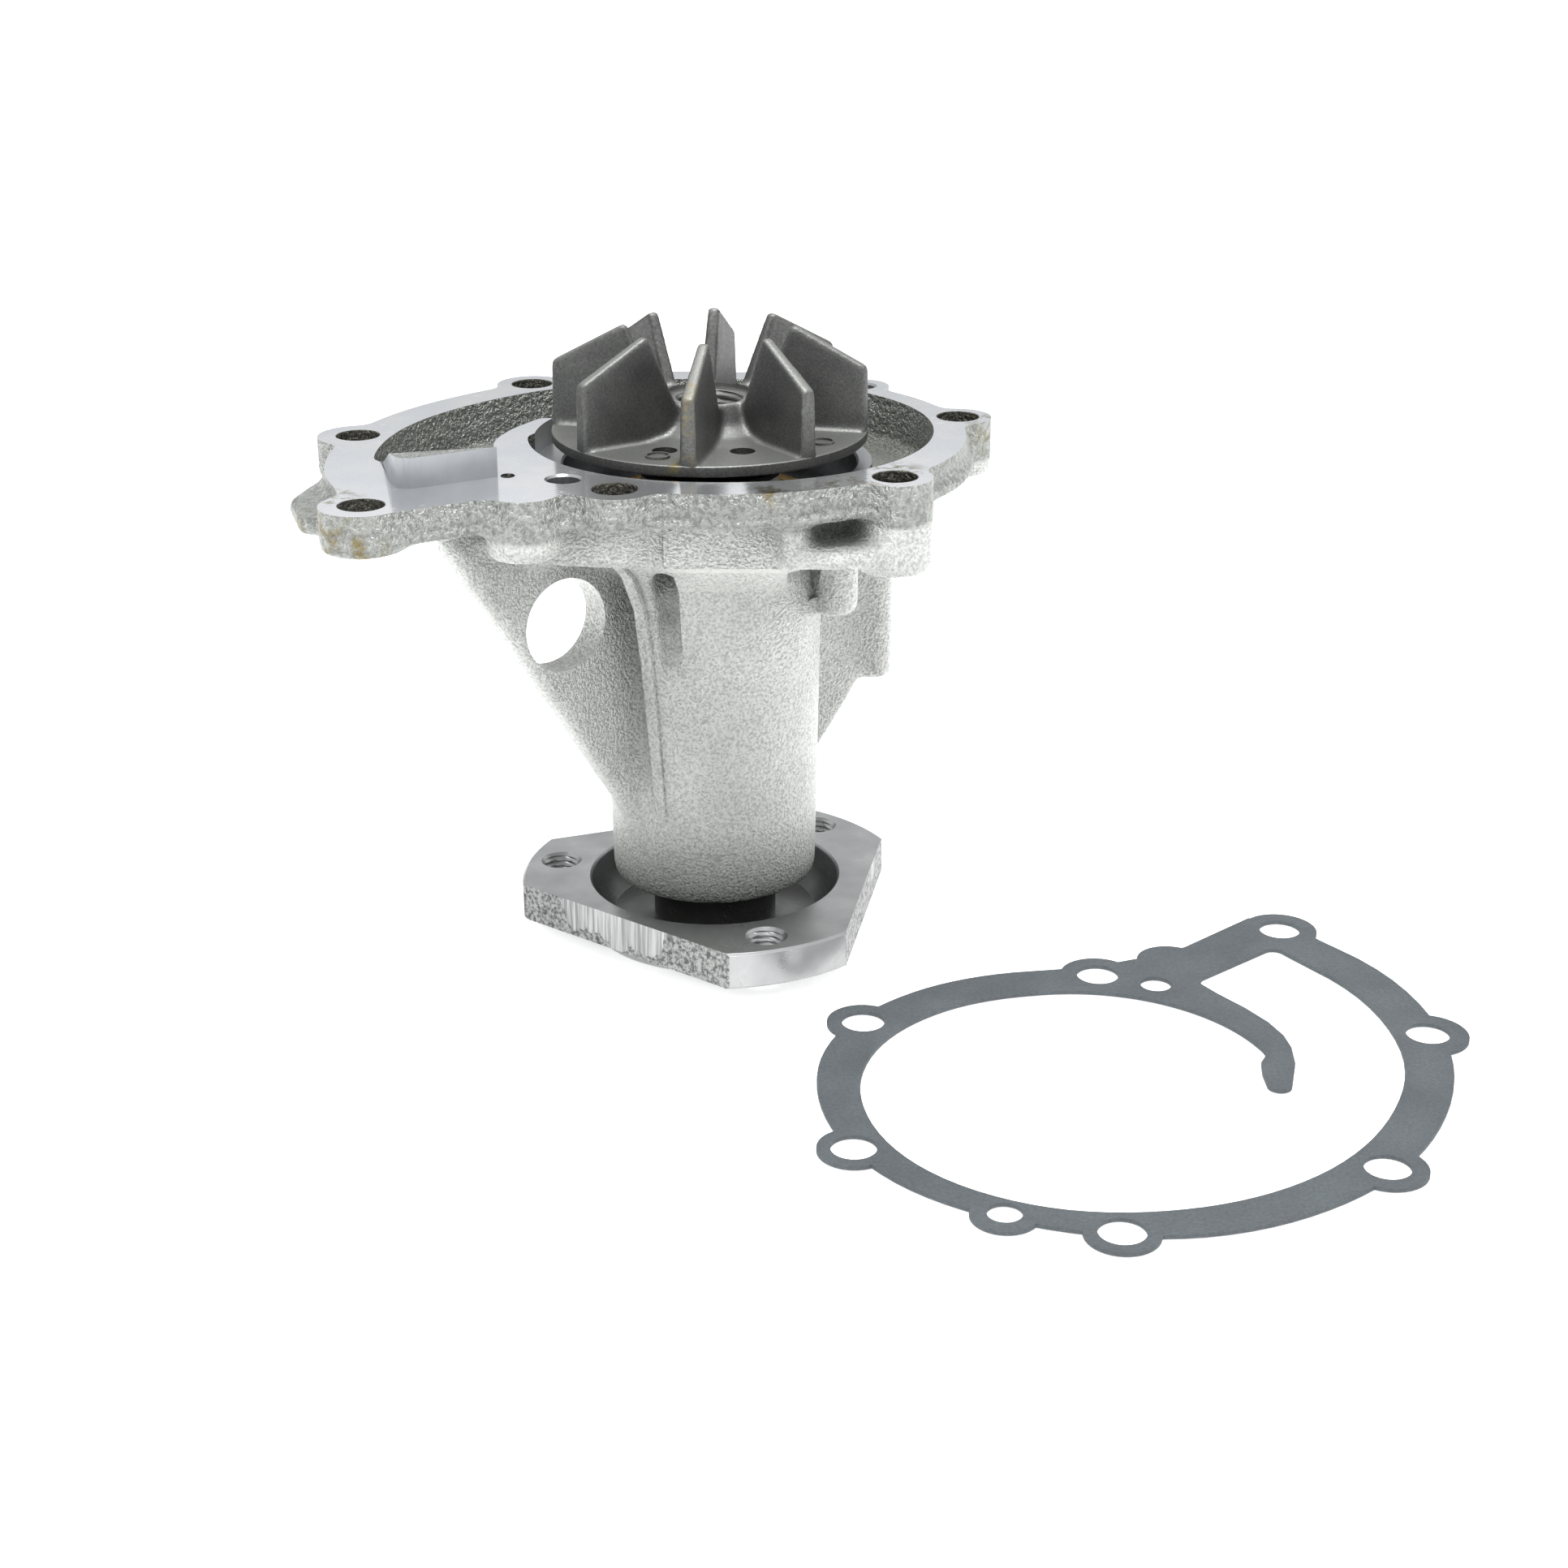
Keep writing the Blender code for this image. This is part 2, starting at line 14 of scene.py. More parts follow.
import bpy
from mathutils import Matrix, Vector


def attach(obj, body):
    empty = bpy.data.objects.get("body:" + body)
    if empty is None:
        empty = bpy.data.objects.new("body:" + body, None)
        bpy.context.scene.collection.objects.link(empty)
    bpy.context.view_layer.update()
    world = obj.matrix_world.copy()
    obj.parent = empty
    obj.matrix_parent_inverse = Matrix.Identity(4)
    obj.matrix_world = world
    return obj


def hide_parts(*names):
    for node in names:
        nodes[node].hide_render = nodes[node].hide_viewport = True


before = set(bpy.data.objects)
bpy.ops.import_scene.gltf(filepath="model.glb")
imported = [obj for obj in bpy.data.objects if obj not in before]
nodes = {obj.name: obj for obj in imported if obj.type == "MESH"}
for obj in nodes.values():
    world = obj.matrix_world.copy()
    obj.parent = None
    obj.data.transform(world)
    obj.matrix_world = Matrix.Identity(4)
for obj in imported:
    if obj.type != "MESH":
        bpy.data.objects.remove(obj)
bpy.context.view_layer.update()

# %% [markdown]
# ## The view
#
# A long lens from a little above shows the impeller, the drive flange and the gasket in one picture.

# %% Camera
camera = bpy.data.objects.new("camera", bpy.data.cameras.new("camera"))
bpy.context.scene.collection.objects.link(camera)
camera.location = (0.01484, -0.5, 0.23358)
camera.rotation_euler = (math.radians(67.993), 0, 0)
camera.data.lens = 58.54
camera.data.sensor_width = 36
bpy.context.scene.camera = camera
print("camera is", round(camera.location.length, 3), "m from the foot of the shaft")

# %% [markdown]
# ## Materials
#
# Each finish is a small network of nodes.  Colours are written as the sRGB values that a painter's
# swatch shows, and one function turns them into the linear values that a shader works in.  A second
# helper adds a node, sets its values and joins its inputs, so that a network reads from top to bottom.
# Patterns are sized in millimetres: a noise of one per millimetre has a scale of 1000 per metre.

# %% Colour and node helpers
PER_MM = 1000.0


def linear(swatch):
    """The linear colour of an sRGB hex value such as "#C8CACC"."""
    parts = [int(swatch[i:i + 2], 16) / 255 for i in (1, 3, 5)]
    return [*(p / 12.92 if p <= 0.04045 else ((p + 0.055) / 1.055) ** 2.4 for p in parts), 1.0]


def add(tree, kind, inputs=None, **settings):
    """Add a node: inputs are numbers, colours or other nodes' outputs, by socket name or number."""
    made = tree.nodes.new(kind)
    for name, value in settings.items():
        setattr(made, name, value)
    for socket, value in (inputs or {}).items():
        if isinstance(value, bpy.types.NodeSocket):
            tree.links.new(value, made.inputs[socket])
        else:
            made.inputs[socket].default_value = value
    return made


def ramp(tree, factor, stops):
    """A colour ramp from a factor: stops are (place, hex colour)."""
    made = add(tree, "ShaderNodeValToRGB", {0: factor})
    points = made.color_ramp.elements
    while len(points) < len(stops):
        points.new(0.5)
    for point, (place, swatch) in zip(points, stops):
        point.position = place
        point.color = linear(swatch)
    return made.outputs["Color"]


def noise(tree, where, per_mm, detail=4.0, rough=0.55):
    made = add(tree, "ShaderNodeTexNoise",
               {"Vector": where, "Scale": per_mm * PER_MM, "Detail": detail, "Roughness": rough})
    return made.outputs["Fac"]


def span(tree, value, low, high, to_low=0.0, to_high=1.0):
    """Stretch a value from one range to another and stop at its ends."""
    made = add(tree, "ShaderNodeMapRange", {0: value, 1: low, 2: high, 3: to_low, 4: to_high})
    return made.outputs[0]


def blend(tree, factor, first, second, mode="MIX"):
    made = add(tree, "ShaderNodeMix", data_type="RGBA", blend_type=mode)
    for socket, value in zip((made.inputs[0], made.inputs[6], made.inputs[7]), (factor, first, second)):
        if isinstance(value, bpy.types.NodeSocket):
            tree.links.new(value, socket)
        else:
            socket.default_value = value
    return made.outputs[2]


def combine(tree, operation, first, second):
    return add(tree, "ShaderNodeMath", {0: first, 1: second}, operation=operation).outputs[0]


def bump(tree, height, distance_mm, strength=1.0):
    inputs = {"Height": height, "Distance": distance_mm / PER_MM, "Strength": strength}
    return add(tree, "ShaderNodeBump", inputs).outputs["Normal"]


def material(name, metallic, roughness):
    """A new material: its tree, its shader and its object coordinates."""
    made = bpy.data.materials.new(name)
    made.use_nodes = True
    tree = made.node_tree
    shader = tree.nodes["Principled BSDF"]
    shader.inputs["Metallic"].default_value = metallic
    shader.inputs["Roughness"].default_value = roughness
    where = add(tree, "ShaderNodeTexCoord").outputs["Object"]
    return made, tree, shader, where


def connect(tree, shader, **outputs):
    for name, output in outputs.items():
        tree.links.new(output, shader.inputs[name.replace("_", " ")])


def spots(tree, where, places):
    """1 inside any of the given balls, given as (x, y, z, radius) in mm, and 0 outside, softly."""
    total = None
    for x, y, z, radius in places:
        centre = (x / PER_MM, y / PER_MM, z / PER_MM)
        away = add(tree, "ShaderNodeVectorMath", {0: where, 1: centre}, operation="DISTANCE")
        near = span(tree, away.outputs["Value"], 0.3 * radius / PER_MM, radius / PER_MM, 1.0, 0.0)
        total = near if total is None else combine(tree, "MAXIMUM", total, near)
    return total


print("helpers ready")

# %% [markdown]
# ### Cast aluminium
#
# The housing is cast aluminium that was shot-blasted afterwards.  Blasting leaves a bright silver-grey
# skin of small dimples, about half a millimetre across, that sparkles where it faces the light.  The
# flange's edge has larger dimples.  Painted shade darkens the flange's edge, and painted shade and
# reflection darken the foot of the neck.  An ambient-occlusion node paints shade into hollows, and
# darker copies of this finish paint shade on the chamber's walls and floor and in the bolt holes.  A
# thin broken mark round the flange shows where the mould parted, and coolant and storage have left a
# few ochre stains.

# %% Cast aluminium
RIM_BAND = (0.0982, 0.0994)
FOOT_BAND = (0.014, 0.030)
MOULD_LINE = 0.1031
HOLLOW_REACH = 0.012
STAINS = [(12, -46, 107, 4), (-66, -56, 102, 9), (-77, -44, 101, 6), (55, 12, 105, 6),
          (-45, -39, 62, 8), (-38, -33, 54, 7), (-62, -60, 100, 7)]


def stained(tree, where, places, colour):
    """A colour with ochre staining over it, patchy inside the given places."""
    patchy = span(tree, noise(tree, where, 0.35, 6.0, 0.65), 0.47, 0.62)
    strength = combine(tree, "MULTIPLY", patchy, spots(tree, where, places))
    return blend(tree, strength, colour, linear("#8C815C"))


def mould_line(tree, where, height):
    """1 on the line where the mould parted and 0 off it.  It wanders a little and it is broken."""
    wander = span(tree, noise(tree, where, 0.12, 3.0), 0.3, 0.7, -0.0006, 0.0006)
    above = combine(tree, "SUBTRACT", combine(tree, "ADD", height, wander), MOULD_LINE)
    off = add(tree, "ShaderNodeMath", {0: above}, operation="ABSOLUTE").outputs[0]
    broken = span(tree, noise(tree, where, 0.2, 4.0), 0.42, 0.62, 0.0, 0.5)
    return combine(tree, "MULTIPLY", span(tree, off, 0.0001, 0.0006, 1.0, 0.0), broken)


def cast_aluminium(name, light, dark, places):
    """Blasted castings: the same dimpled skin, bright, or in darker copies that paint shade.

    Only the outside of the casting has places to stain, and only there does the mould line show.
    """
    made, tree, shader, where = material(name, 0.88, 0.44)
    height = add(tree, "ShaderNodeSeparateXYZ", {0: where}).outputs["Z"]
    rim = span(tree, height, *RIM_BAND)
    grain = blend(tree, rim, noise(tree, where, 1.7, 3.0, 0.6), noise(tree, where, 1.0, 3.0, 0.6))
    patches = noise(tree, where, 0.05, 3.0)
    skin = ramp(tree, patches, [(0.32, dark), (0.68, light)])
    dimple = ramp(tree, grain, [(0.38, "#747675"), (0.56, "#FFFFFF")])
    colour = blend(tree, 0.40, skin, dimple, "MULTIPLY")
    # Painted shade on the flange's edge, and painted shade and reflection at the neck's foot.
    foot = span(tree, height, *FOOT_BAND, 0.85, 0.0)
    painted_shade = combine(tree, "MAXIMUM", span(tree, rim, 0.0, 1.0, 0.0, 0.72), foot)
    colour = blend(tree, painted_shade, colour, linear("#A3A5A3"), "MULTIPLY")
    if places:
        colour = blend(tree, mould_line(tree, where, height), colour, linear("#6E6F6C"))
        colour = stained(tree, where, places, colour)
    # Painted shade in hollows, from an ambient-occlusion node.
    openness = add(tree, "ShaderNodeAmbientOcclusion", {"Distance": HOLLOW_REACH}).outputs["AO"]
    hollow = span(tree, openness, 0.35, 0.85, 0.75, 0.0)
    colour = blend(tree, hollow, colour, linear("#8F9190"), "MULTIPLY")
    dull = span(tree, grain, 0.3, 0.7, 0.48, 0.34)
    connect(tree, shader, Base_Color=colour, Roughness=dull, Normal=bump(tree, grain, 2.2, 1.0))
    return made


CAST = cast_aluminium("cast_aluminium", "#F2F3F0", "#E4E5E2", STAINS)
# A darker copy that paints shade on the chamber's walls and floor.
CAST_INSIDE_PAINTED_SHADE = cast_aluminium("cast_inside_painted_shade", "#D6D7D3", "#C4C5C0", [])
# A darker copy that paints shade inside the bolt holes.
CAST_HOLE_PAINTED_SHADE = cast_aluminium("cast_hole_painted_shade", "#A09D94", "#87847B", [])
print("made", CAST.name, "and its two duller shades")

# %% [markdown]
# ### Machined aluminium
#
# The flange face was milled, and the seat and the bores were turned.  Fresh cuts are smooth, mirror
# the sky and look a little blue.  A fly cutter leaves arcs about a millimetre apart, so a wave of
# rings round a far centre gives their height, which is only about a hundredth of a millimetre.

# %% Machined aluminium
FACE_STAINS = [(28, -38, 107, 11), (36, -27, 107, 7), (14, -43, 107, 8), (-68, -47, 107, 7),
               (56, 12, 107, 6)]


def machined_aluminium(name, rough, light, dark, places):
    """Cut aluminium: smooth and bright where milled; rougher and darker, as painted shade, where bored.
    """
    made, tree, shader, where = material(name, 0.9, rough)
    away = add(tree, "ShaderNodeVectorMath", {0: where, 1: (-0.35, -0.42, 0.0)}, operation="SUBTRACT")
    arcs = add(tree, "ShaderNodeTexWave", {"Vector": away.outputs[0], "Scale": 0.32 * PER_MM,
                                           "Distortion": 0.0}, wave_type="RINGS",
               rings_direction="Z").outputs["Fac"]
    haze = noise(tree, where, 0.09, 5.0)
    colour = ramp(tree, haze, [(0.35, dark), (0.65, light)])
    if places:
        colour = stained(tree, where, places, colour)
    marks = span(tree, arcs, 0.0, 1.0, rough - 0.03, rough + 0.03)
    specks = span(tree, noise(tree, where, 0.5, 5.0, 0.6), 0.60, 0.75, 0.0, 0.15)
    dull = combine(tree, "ADD", marks, specks)
    connect(tree, shader, Base_Color=colour, Roughness=dull, Normal=bump(tree, arcs, 0.012, 0.12))
    return made


MACHINED = machined_aluminium("machined_aluminium", 0.14, "#FCFDFE", "#F2F5FA", FACE_STAINS)
# The bored copy is darker: it paints shade in the bores, the dowel holes and on the outlet wall's face.
BORED_PAINTED_SHADE = machined_aluminium("bored_aluminium_painted_shade", 0.34, "#A9ABAE", "#97999C", [])
print("made", MACHINED.name, "and", BORED_PAINTED_SHADE.name)

# %% [markdown]
# ### Iron and steel
#
# The impeller is grey cast iron with a matt dark skin, worn bright on its edges, with painted light
# on its upward faces.  The drive flange is turned steel, a satin grey with circular tool marks, and
# painted black in its well and on its boss as shade and dark reflection.  Its three flats were sawn
# part of the way and then broken: upright scores in some places, coarse sparkling crystals in the
# others.

# %% Impeller iron
IRON_STAINS = [(-6, -31, 118, 6), (-6, -30, 110, 5), (-5, -28, 124, 5)]


def impeller_iron():
    made, tree, shader, where = material("impeller_iron", 0.85, 0.5)
    grain = noise(tree, where, 2.2, 4.0, 0.6)
    patches = noise(tree, where, 0.12, 4.0)
    skin = ramp(tree, patches, [(0.3, "#686968"), (0.7, "#7E7F7D")])
    dark = ramp(tree, grain, [(0.35, "#8C8C88"), (0.65, "#FFFFFF")])
    colour = blend(tree, 0.45, skin, dark, "MULTIPLY")
    edges = add(tree, "ShaderNodeNewGeometry").outputs["Pointiness"]
    worn = span(tree, edges, 0.56, 0.68, 0.0, 0.30)
    colour = blend(tree, worn, colour, linear("#B9B9B4"))
    # Painted light: faces that look up are blended lighter.
    upright = add(tree, "ShaderNodeNewGeometry").outputs["Normal"]
    painted_top_light = add(tree, "ShaderNodeSeparateXYZ", {0: upright}).outputs["Z"]
    colour = blend(tree, span(tree, painted_top_light, 0.4, 0.9, 0.0, 0.35), colour, linear("#B4B5B1"))
    colour = stained(tree, where, IRON_STAINS, colour)
    connect(tree, shader, Base_Color=colour, Roughness=span(tree, grain, 0.3, 0.7, 0.58, 0.44),
            Normal=bump(tree, grain, 0.12, 0.55))
    return made


def turned_iron():
    made, tree, shader, where = material("turned_iron", 0.85, 0.3)
    rings = add(tree, "ShaderNodeTexWave", {"Vector": where, "Scale": 1.2 * PER_MM},
                wave_type="RINGS", rings_direction="Z").outputs["Fac"]
    colour = ramp(tree, rings, [(0.0, "#7A7A78"), (1.0, "#A2A2A0")])
    connect(tree, shader, Base_Color=colour, Normal=bump(tree, rings, 0.02, 0.4))
    return made


IRON = impeller_iron()
IRON_TURNED = turned_iron()
print("made", IRON.name, "and", IRON_TURNED.name)


# %% Drive flange steel
SAWN = [(-26, -17, 11.5, 10), (-20, -22, 10.5, 9), (-14, -27, 11.0, 9), (34, 4, 11.0, 6),
        (-3, 30, 10.0, 9)]


def hub_steel(name, dark, light):
    """Turned steel in two colours; the well's dark copy paints shade and dark reflection."""
    made, tree, shader, where = material(name, 0.9, 0.3)
    rings = add(tree, "ShaderNodeTexWave", {"Vector": where, "Scale": 0.9 * PER_MM, "Distortion": 0.4},
                wave_type="RINGS", rings_direction="Z").outputs["Fac"]
    haze = noise(tree, where, 0.10, 5.0)
    colour = ramp(tree, haze, [(0.3, dark), (0.7, light)])
    scuffs = span(tree, noise(tree, where, 0.7, 6.0, 0.7), 0.56, 0.70, 0.0, 0.5)
    colour = blend(tree, scuffs, colour, linear(dark))
    dull = span(tree, haze, 0.3, 0.7, 0.36, 0.25)
    connect(tree, shader, Base_Color=colour, Roughness=dull, Normal=bump(tree, rings, 0.015, 0.35))
    return made


def broken_steel():
    """Broken steel, ragged with crystals, with fine upright scores where the saw went."""
    made, tree, shader, where = material("broken_steel", 0.9, 0.42)
    crystals = noise(tree, where, 1.1, 5.0, 0.7)
    upright = add(tree, "ShaderNodeMapping", {"Vector": where, "Scale": (1.0, 1.0, 0.04)})
    scores = noise(tree, upright.outputs[0], 1.3, 3.0, 0.6)
    ragged = span(tree, noise(tree, where, 0.25, 4.0), 0.35, 0.65, -0.25, 0.25)
    scored = span(tree, combine(tree, "ADD", spots(tree, where, SAWN), ragged), 0.42, 0.50)
    height = blend(tree, scored, crystals, blend(tree, 0.8, scores, linear("#BCBCBC")))
    colour = ramp(tree, crystals, [(0.41, "#6C6D6C"), (0.57, "#C8C9C8")])
    bright = ramp(tree, scores, [(0.38, "#8F9090"), (0.60, "#C2C3C2")])
    colour = blend(tree, scored, colour, bright)
    connect(tree, shader, Base_Color=colour, Normal=bump(tree, height, 1.4, 1.0))
    return made


STEEL = hub_steel("hub_steel", "#9C9D9E", "#B2B3B3")
# The well's copy is painted dark, as shade and dark reflection.
STEEL_WELL_PAINTED_SHADE = hub_steel("hub_well_painted_shade", "#5C5D5C", "#6E6F6E")
STEEL_BROKEN = broken_steel()
print("made", STEEL.name, "and", STEEL_BROKEN.name)

# %% [markdown]
# ### Bearing and seal finishes
#
# Ground steel is nearly a mirror with fine circumferential lines.  Nylon is ivory and slightly
# translucent.  Nitrile rubber is black with a bloom, brass is drawn and bright, carbon is a matt
# black and the ceramic a smooth off-white.


# %% Inner finishes
def plain_finish(name, metallic, roughness, light, dark, grain_per_mm, grain_mm):
    """A one-colour finish that still varies in shade and has its own fine surface."""
    made, tree, shader, where = material(name, metallic, roughness)
    grain = noise(tree, where, grain_per_mm, 4.0)
    colour = ramp(tree, grain, [(0.3, dark), (0.7, light)])
    dull = span(tree, grain, 0.3, 0.7, roughness + 0.07, roughness - 0.05)
    connect(tree, shader, Base_Color=colour, Roughness=dull, Normal=bump(tree, grain, grain_mm, 0.5))
    return made


GROUND = plain_finish("bearing_steel", 1.0, 0.20, "#C6C8CB", "#AEB0B3", 0.8, 0.01)
NYLON = plain_finish("cage_nylon", 0.0, 0.45, "#D8CBA0", "#C9BA8C", 0.5, 0.03)
NITRILE = plain_finish("rubber", 0.0, 0.55, "#26262A", "#18181A", 1.5, 0.04)
DRAWN_BRASS = plain_finish("brass", 1.0, 0.28, "#D9B56A", "#B8924A", 0.6, 0.02)
HARD_CARBON = plain_finish("carbon", 0.0, 0.40, "#3A3A3C", "#2A2A2C", 2.0, 0.02)
SEAL_CERAMIC = plain_finish("ceramic", 0.0, 0.22, "#EDEBE3", "#DFDCD2", 0.7, 0.01)
print("made six inner finishes")

# %% [markdown]
# ### Gasket paper
#
# The gasket is calendered fibre paper, slate grey and matt.  Its fibres show as a faint mottle half a
# millimetre across.


# %% Gasket fibre
def gasket_fibre():
    made, tree, shader, where = material("gasket_fibre", 0.0, 0.75)
    fibres = noise(tree, where, 1.4, 6.0, 0.7)
    clouds = noise(tree, where, 0.07, 3.0)
    colour = ramp(tree, fibres, [(0.3, "#4D5356"), (0.7, "#60666A")])
    shade = ramp(tree, clouds, [(0.35, "#E4E4E4"), (0.65, "#FFFFFF")])
    colour = blend(tree, 0.8, colour, shade, "MULTIPLY")
    connect(tree, shader, Base_Color=colour, Normal=bump(tree, fibres, 0.06, 0.7))
    return made


FIBRE = gasket_fibre()
print("made", FIBRE.name)

# %% [markdown]
# ## Modelling helpers
#
# Everything is modelled at one unit to the millimetre, because Blender's merge distances and its
# Boolean solver suit that size, and is brought to metres when it is done.  Three shapes make nearly
# all of it: a prism, which is a filled circle pulled to an outline and extruded; a turned piece, which
# is a ring of edges spun round an axis; and a hull over a few corners.


# %% Edit-mode helpers
MERGE_DISTANCE = 0.001


def only(piece):
    """Make a piece the only selected and the active object."""
    bpy.ops.object.select_all(action="DESELECT")
    piece.select_set(True)
    bpy.context.view_layer.objects.active = piece
    return piece


def edit_all(piece):
    only(piece)
    bpy.ops.object.mode_set(mode="EDIT")
    bpy.ops.mesh.select_all(action="SELECT")


def done_editing():
    """Merge doubles, turn the faces outwards and leave edit mode."""
    bpy.ops.mesh.select_all(action="SELECT")
    bpy.ops.mesh.remove_doubles(threshold=MERGE_DISTANCE)
    bpy.ops.mesh.delete_loose(use_verts=True, use_edges=True, use_faces=False)
    bpy.ops.mesh.select_all(action="SELECT")
    bpy.ops.mesh.normals_make_consistent(inside=False)
    bpy.ops.object.mode_set(mode="OBJECT")


def started(name, count, filled, finish):
    """A circle with as many points as an outline has, ready to be pulled to it."""
    bpy.ops.object.select_all(action="DESELECT")
    bpy.ops.mesh.primitive_circle_add(vertices=count, fill_type="NGON" if filled else "NOTHING")
    piece = bpy.context.object
    piece.name = name
    piece.data.materials.append(finish)
    return piece


def prism(name, outline, low, high, finish):
    piece = started(name, len(outline), True, finish)
    for vertex, (x, y) in zip(piece.data.vertices, outline):
        vertex.co = (x, y, low)
    edit_all(piece)
    bpy.ops.mesh.extrude_region_move(TRANSFORM_OT_translate={"value": (0, 0, high - low)})
    done_editing()
    return piece


def turned(name, profile, finish, steps=64, centre=(0, 0)):
    """Spin a closed (radius, height) outline round an upright axis."""
    piece = started(name, len(profile), False, finish)
    for vertex, (radius, height) in zip(piece.data.vertices, profile):
        vertex.co = (centre[0] + radius, centre[1], height)
    edit_all(piece)
    bpy.ops.mesh.spin(steps=steps, angle=2 * math.pi, center=(*centre, 0), axis=(0, 0, 1))
    done_editing()
    return piece


def rod(name, x, y, radius, low, high, finish, sides=32):
    bpy.ops.object.select_all(action="DESELECT")
    bpy.ops.mesh.primitive_cylinder_add(vertices=sides, radius=radius, depth=high - low,
                                        location=(x, y, (low + high) / 2))
    piece = bpy.context.object
    piece.name = name
    piece.data.materials.append(finish)
    bpy.ops.object.transform_apply()
    return piece


def hull(name, corners, finish):
    piece = started(name, len(corners), False, finish)
    for vertex, corner in zip(piece.data.vertices, corners):
        vertex.co = corner
    edit_all(piece)
    bpy.ops.mesh.convex_hull()
    done_editing()
    return piece


def stand_on_ray(piece, angle, aside=0.0):
    """Stand a flat plate up on a ray from the axis: its x becomes distance and its y height."""
    turn = math.radians(angle)
    only(piece)
    piece.rotation_euler = (math.radians(90), 0, turn)
    piece.location = (-aside * math.sin(turn), aside * math.cos(turn), 0)
    bpy.ops.object.transform_apply()
    return piece


def plate(name, profile, thick, angle, finish):
    """A plate of even thickness that stands on a ray from the axis."""
    return stand_on_ray(prism(name, profile, -thick / 2, thick / 2, finish), angle)


print("helpers ready")


# %% Modifier helpers
def apply_modifier(piece, kind, **settings):
    only(piece)
    step = piece.modifiers.new(kind.lower(), kind)
    for name, value in settings.items():
        setattr(step, name, value)
    bpy.ops.object.modifier_apply(modifier=step.name)
    return piece


def joined(first, *others):
    bpy.ops.object.select_all(action="DESELECT")
    for piece in (first, *others):
        piece.select_set(True)
    bpy.context.view_layer.objects.active = first
    bpy.ops.object.join()
    return first


def cut(piece, *tools):
    """Cut tools out of a piece, one after another.  A cut surface keeps the tool's finish."""
    for tool in tools:
        apply_modifier(piece, "BOOLEAN", operation="DIFFERENCE", object=tool, material_mode="TRANSFER")
        bpy.data.objects.remove(tool, do_unlink=True)
    return piece


def united(piece, *tools):
    for tool in tools:
        apply_modifier(piece, "BOOLEAN", operation="UNION", object=tool, material_mode="TRANSFER")
        bpy.data.objects.remove(tool, do_unlink=True)
    return piece


def soften(piece, width, angle=60):
    """Round off the edges that turn by more than an angle in degrees."""
    return apply_modifier(piece, "BEVEL", width=width, segments=2, limit_method="ANGLE",
                          angle_limit=math.radians(angle))


def cast(piece, voxel, fillet, smooth):
    """Melt joined shapes into one skin as a mould would, with filled inner corners.

    Pushing the skin out by the fillet and back again leaves outer edges alone and rounds inner ones.
    """
    apply_modifier(piece, "REMESH", mode="VOXEL", voxel_size=voxel)
    apply_modifier(piece, "DISPLACE", strength=fillet, mid_level=0.0)
    apply_modifier(piece, "REMESH", mode="VOXEL", voxel_size=voxel)
    apply_modifier(piece, "SMOOTH", factor=0.5, iterations=2)
    apply_modifier(piece, "DISPLACE", strength=-fillet, mid_level=0.0)
    apply_modifier(piece, "REMESH", mode="VOXEL", voxel_size=voxel)
    apply_modifier(piece, "SMOOTH", factor=0.5, iterations=smooth)
    return piece


def to_metres(piece, sharp=30):
    """Bring a finished piece from millimetres to metres and shade its round faces smooth."""
    only(piece)
    piece.scale = [1 / PER_MM] * 3
    bpy.ops.object.transform_apply()
    bpy.ops.object.shade_smooth_by_angle(angle=math.radians(sharp))
    return piece


def stands_for(piece, node, body):
    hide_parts(node)
    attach(piece, body)
    print(piece.name, "has", len(piece.data.polygons), "faces and stands for", node)


print("helpers ready")

# %% [markdown]
# ## Outlines
#
# The flange and the volute spiral outwards from straight ahead of the pump round to its outlet on the
# left.  A few radii, one every thirty degrees, give each spiral, and a smooth curve runs through them.

# %% Plan outlines, in millimetres
FACE = 107.15
SCROLL = (36.5, 38.8, 42.0, 44.8, 47.3, 48.3, 48.6, 50.9, 55.5, 63.3, 69.8)
EDGE = (46.2, 48.2, 51.2, 52.5, 53.7, 54.2, 56.8, 59.6, 64.7, 73.0, 80.7)
SCROLL_STEP = 4
BOLTS = {"a": (-61.9, -52.2, 8.0, 98.6), "b": (-16.6, -41.1, 7.8, 100.0), "c": (35.8, -32.5, 7.4, 89.0),
         "d": (50.6, 14.6, 7.0, 95.5), "e": (13.7, 52.7, 7.0, 98.0), "f": (-39.7, 44.0, 7.6, 98.0),
         "g": (-70.4, -1.0, 8.2, 98.6)}
BOLT_R = 4.3
DOWELS = {"left": (-26.6, -34.1), "right": (31.2, 42.2)}
DOWEL_R = 3.2
PLAIN_LOBE = (-33.5, -43.8, 7.0, 95.0)


def polar(radius, angle):
    return (radius * math.cos(math.radians(angle)), radius * math.sin(math.radians(angle)))


def scroll(radii, angle):
    """Smooth radius at an angle, from one radius every 30 degrees from -90."""
    place = min(max((angle + 90) / 30, 0), len(radii) - 1 - 1e-9)
    i = int(place)
    t = place - i
    before, here, after = radii[max(i - 1, 0)], radii[i], radii[i + 1]
    beyond = radii[min(i + 2, len(radii) - 1)]
    return 0.5 * (2 * here + (after - before) * t + (2 * before - 5 * here + 4 * after - beyond) * t**2
                  + (3 * here - before - 3 * after + beyond) * t**3)


def scroll_points(radii, start, end, grow=0.0):
    count = round((end - start) / SCROLL_STEP)
    angles = [start + i * (end - start) / count for i in range(count + 1)]
    return [polar(scroll(radii, a) + grow, a) for a in angles]


def arc(x, y, radius, start, end, count):
    angles = [start + i * (end - start) / count for i in range(count + 1)]
    return [(x + polar(radius, a)[0], y + polar(radius, a)[1]) for a in angles]


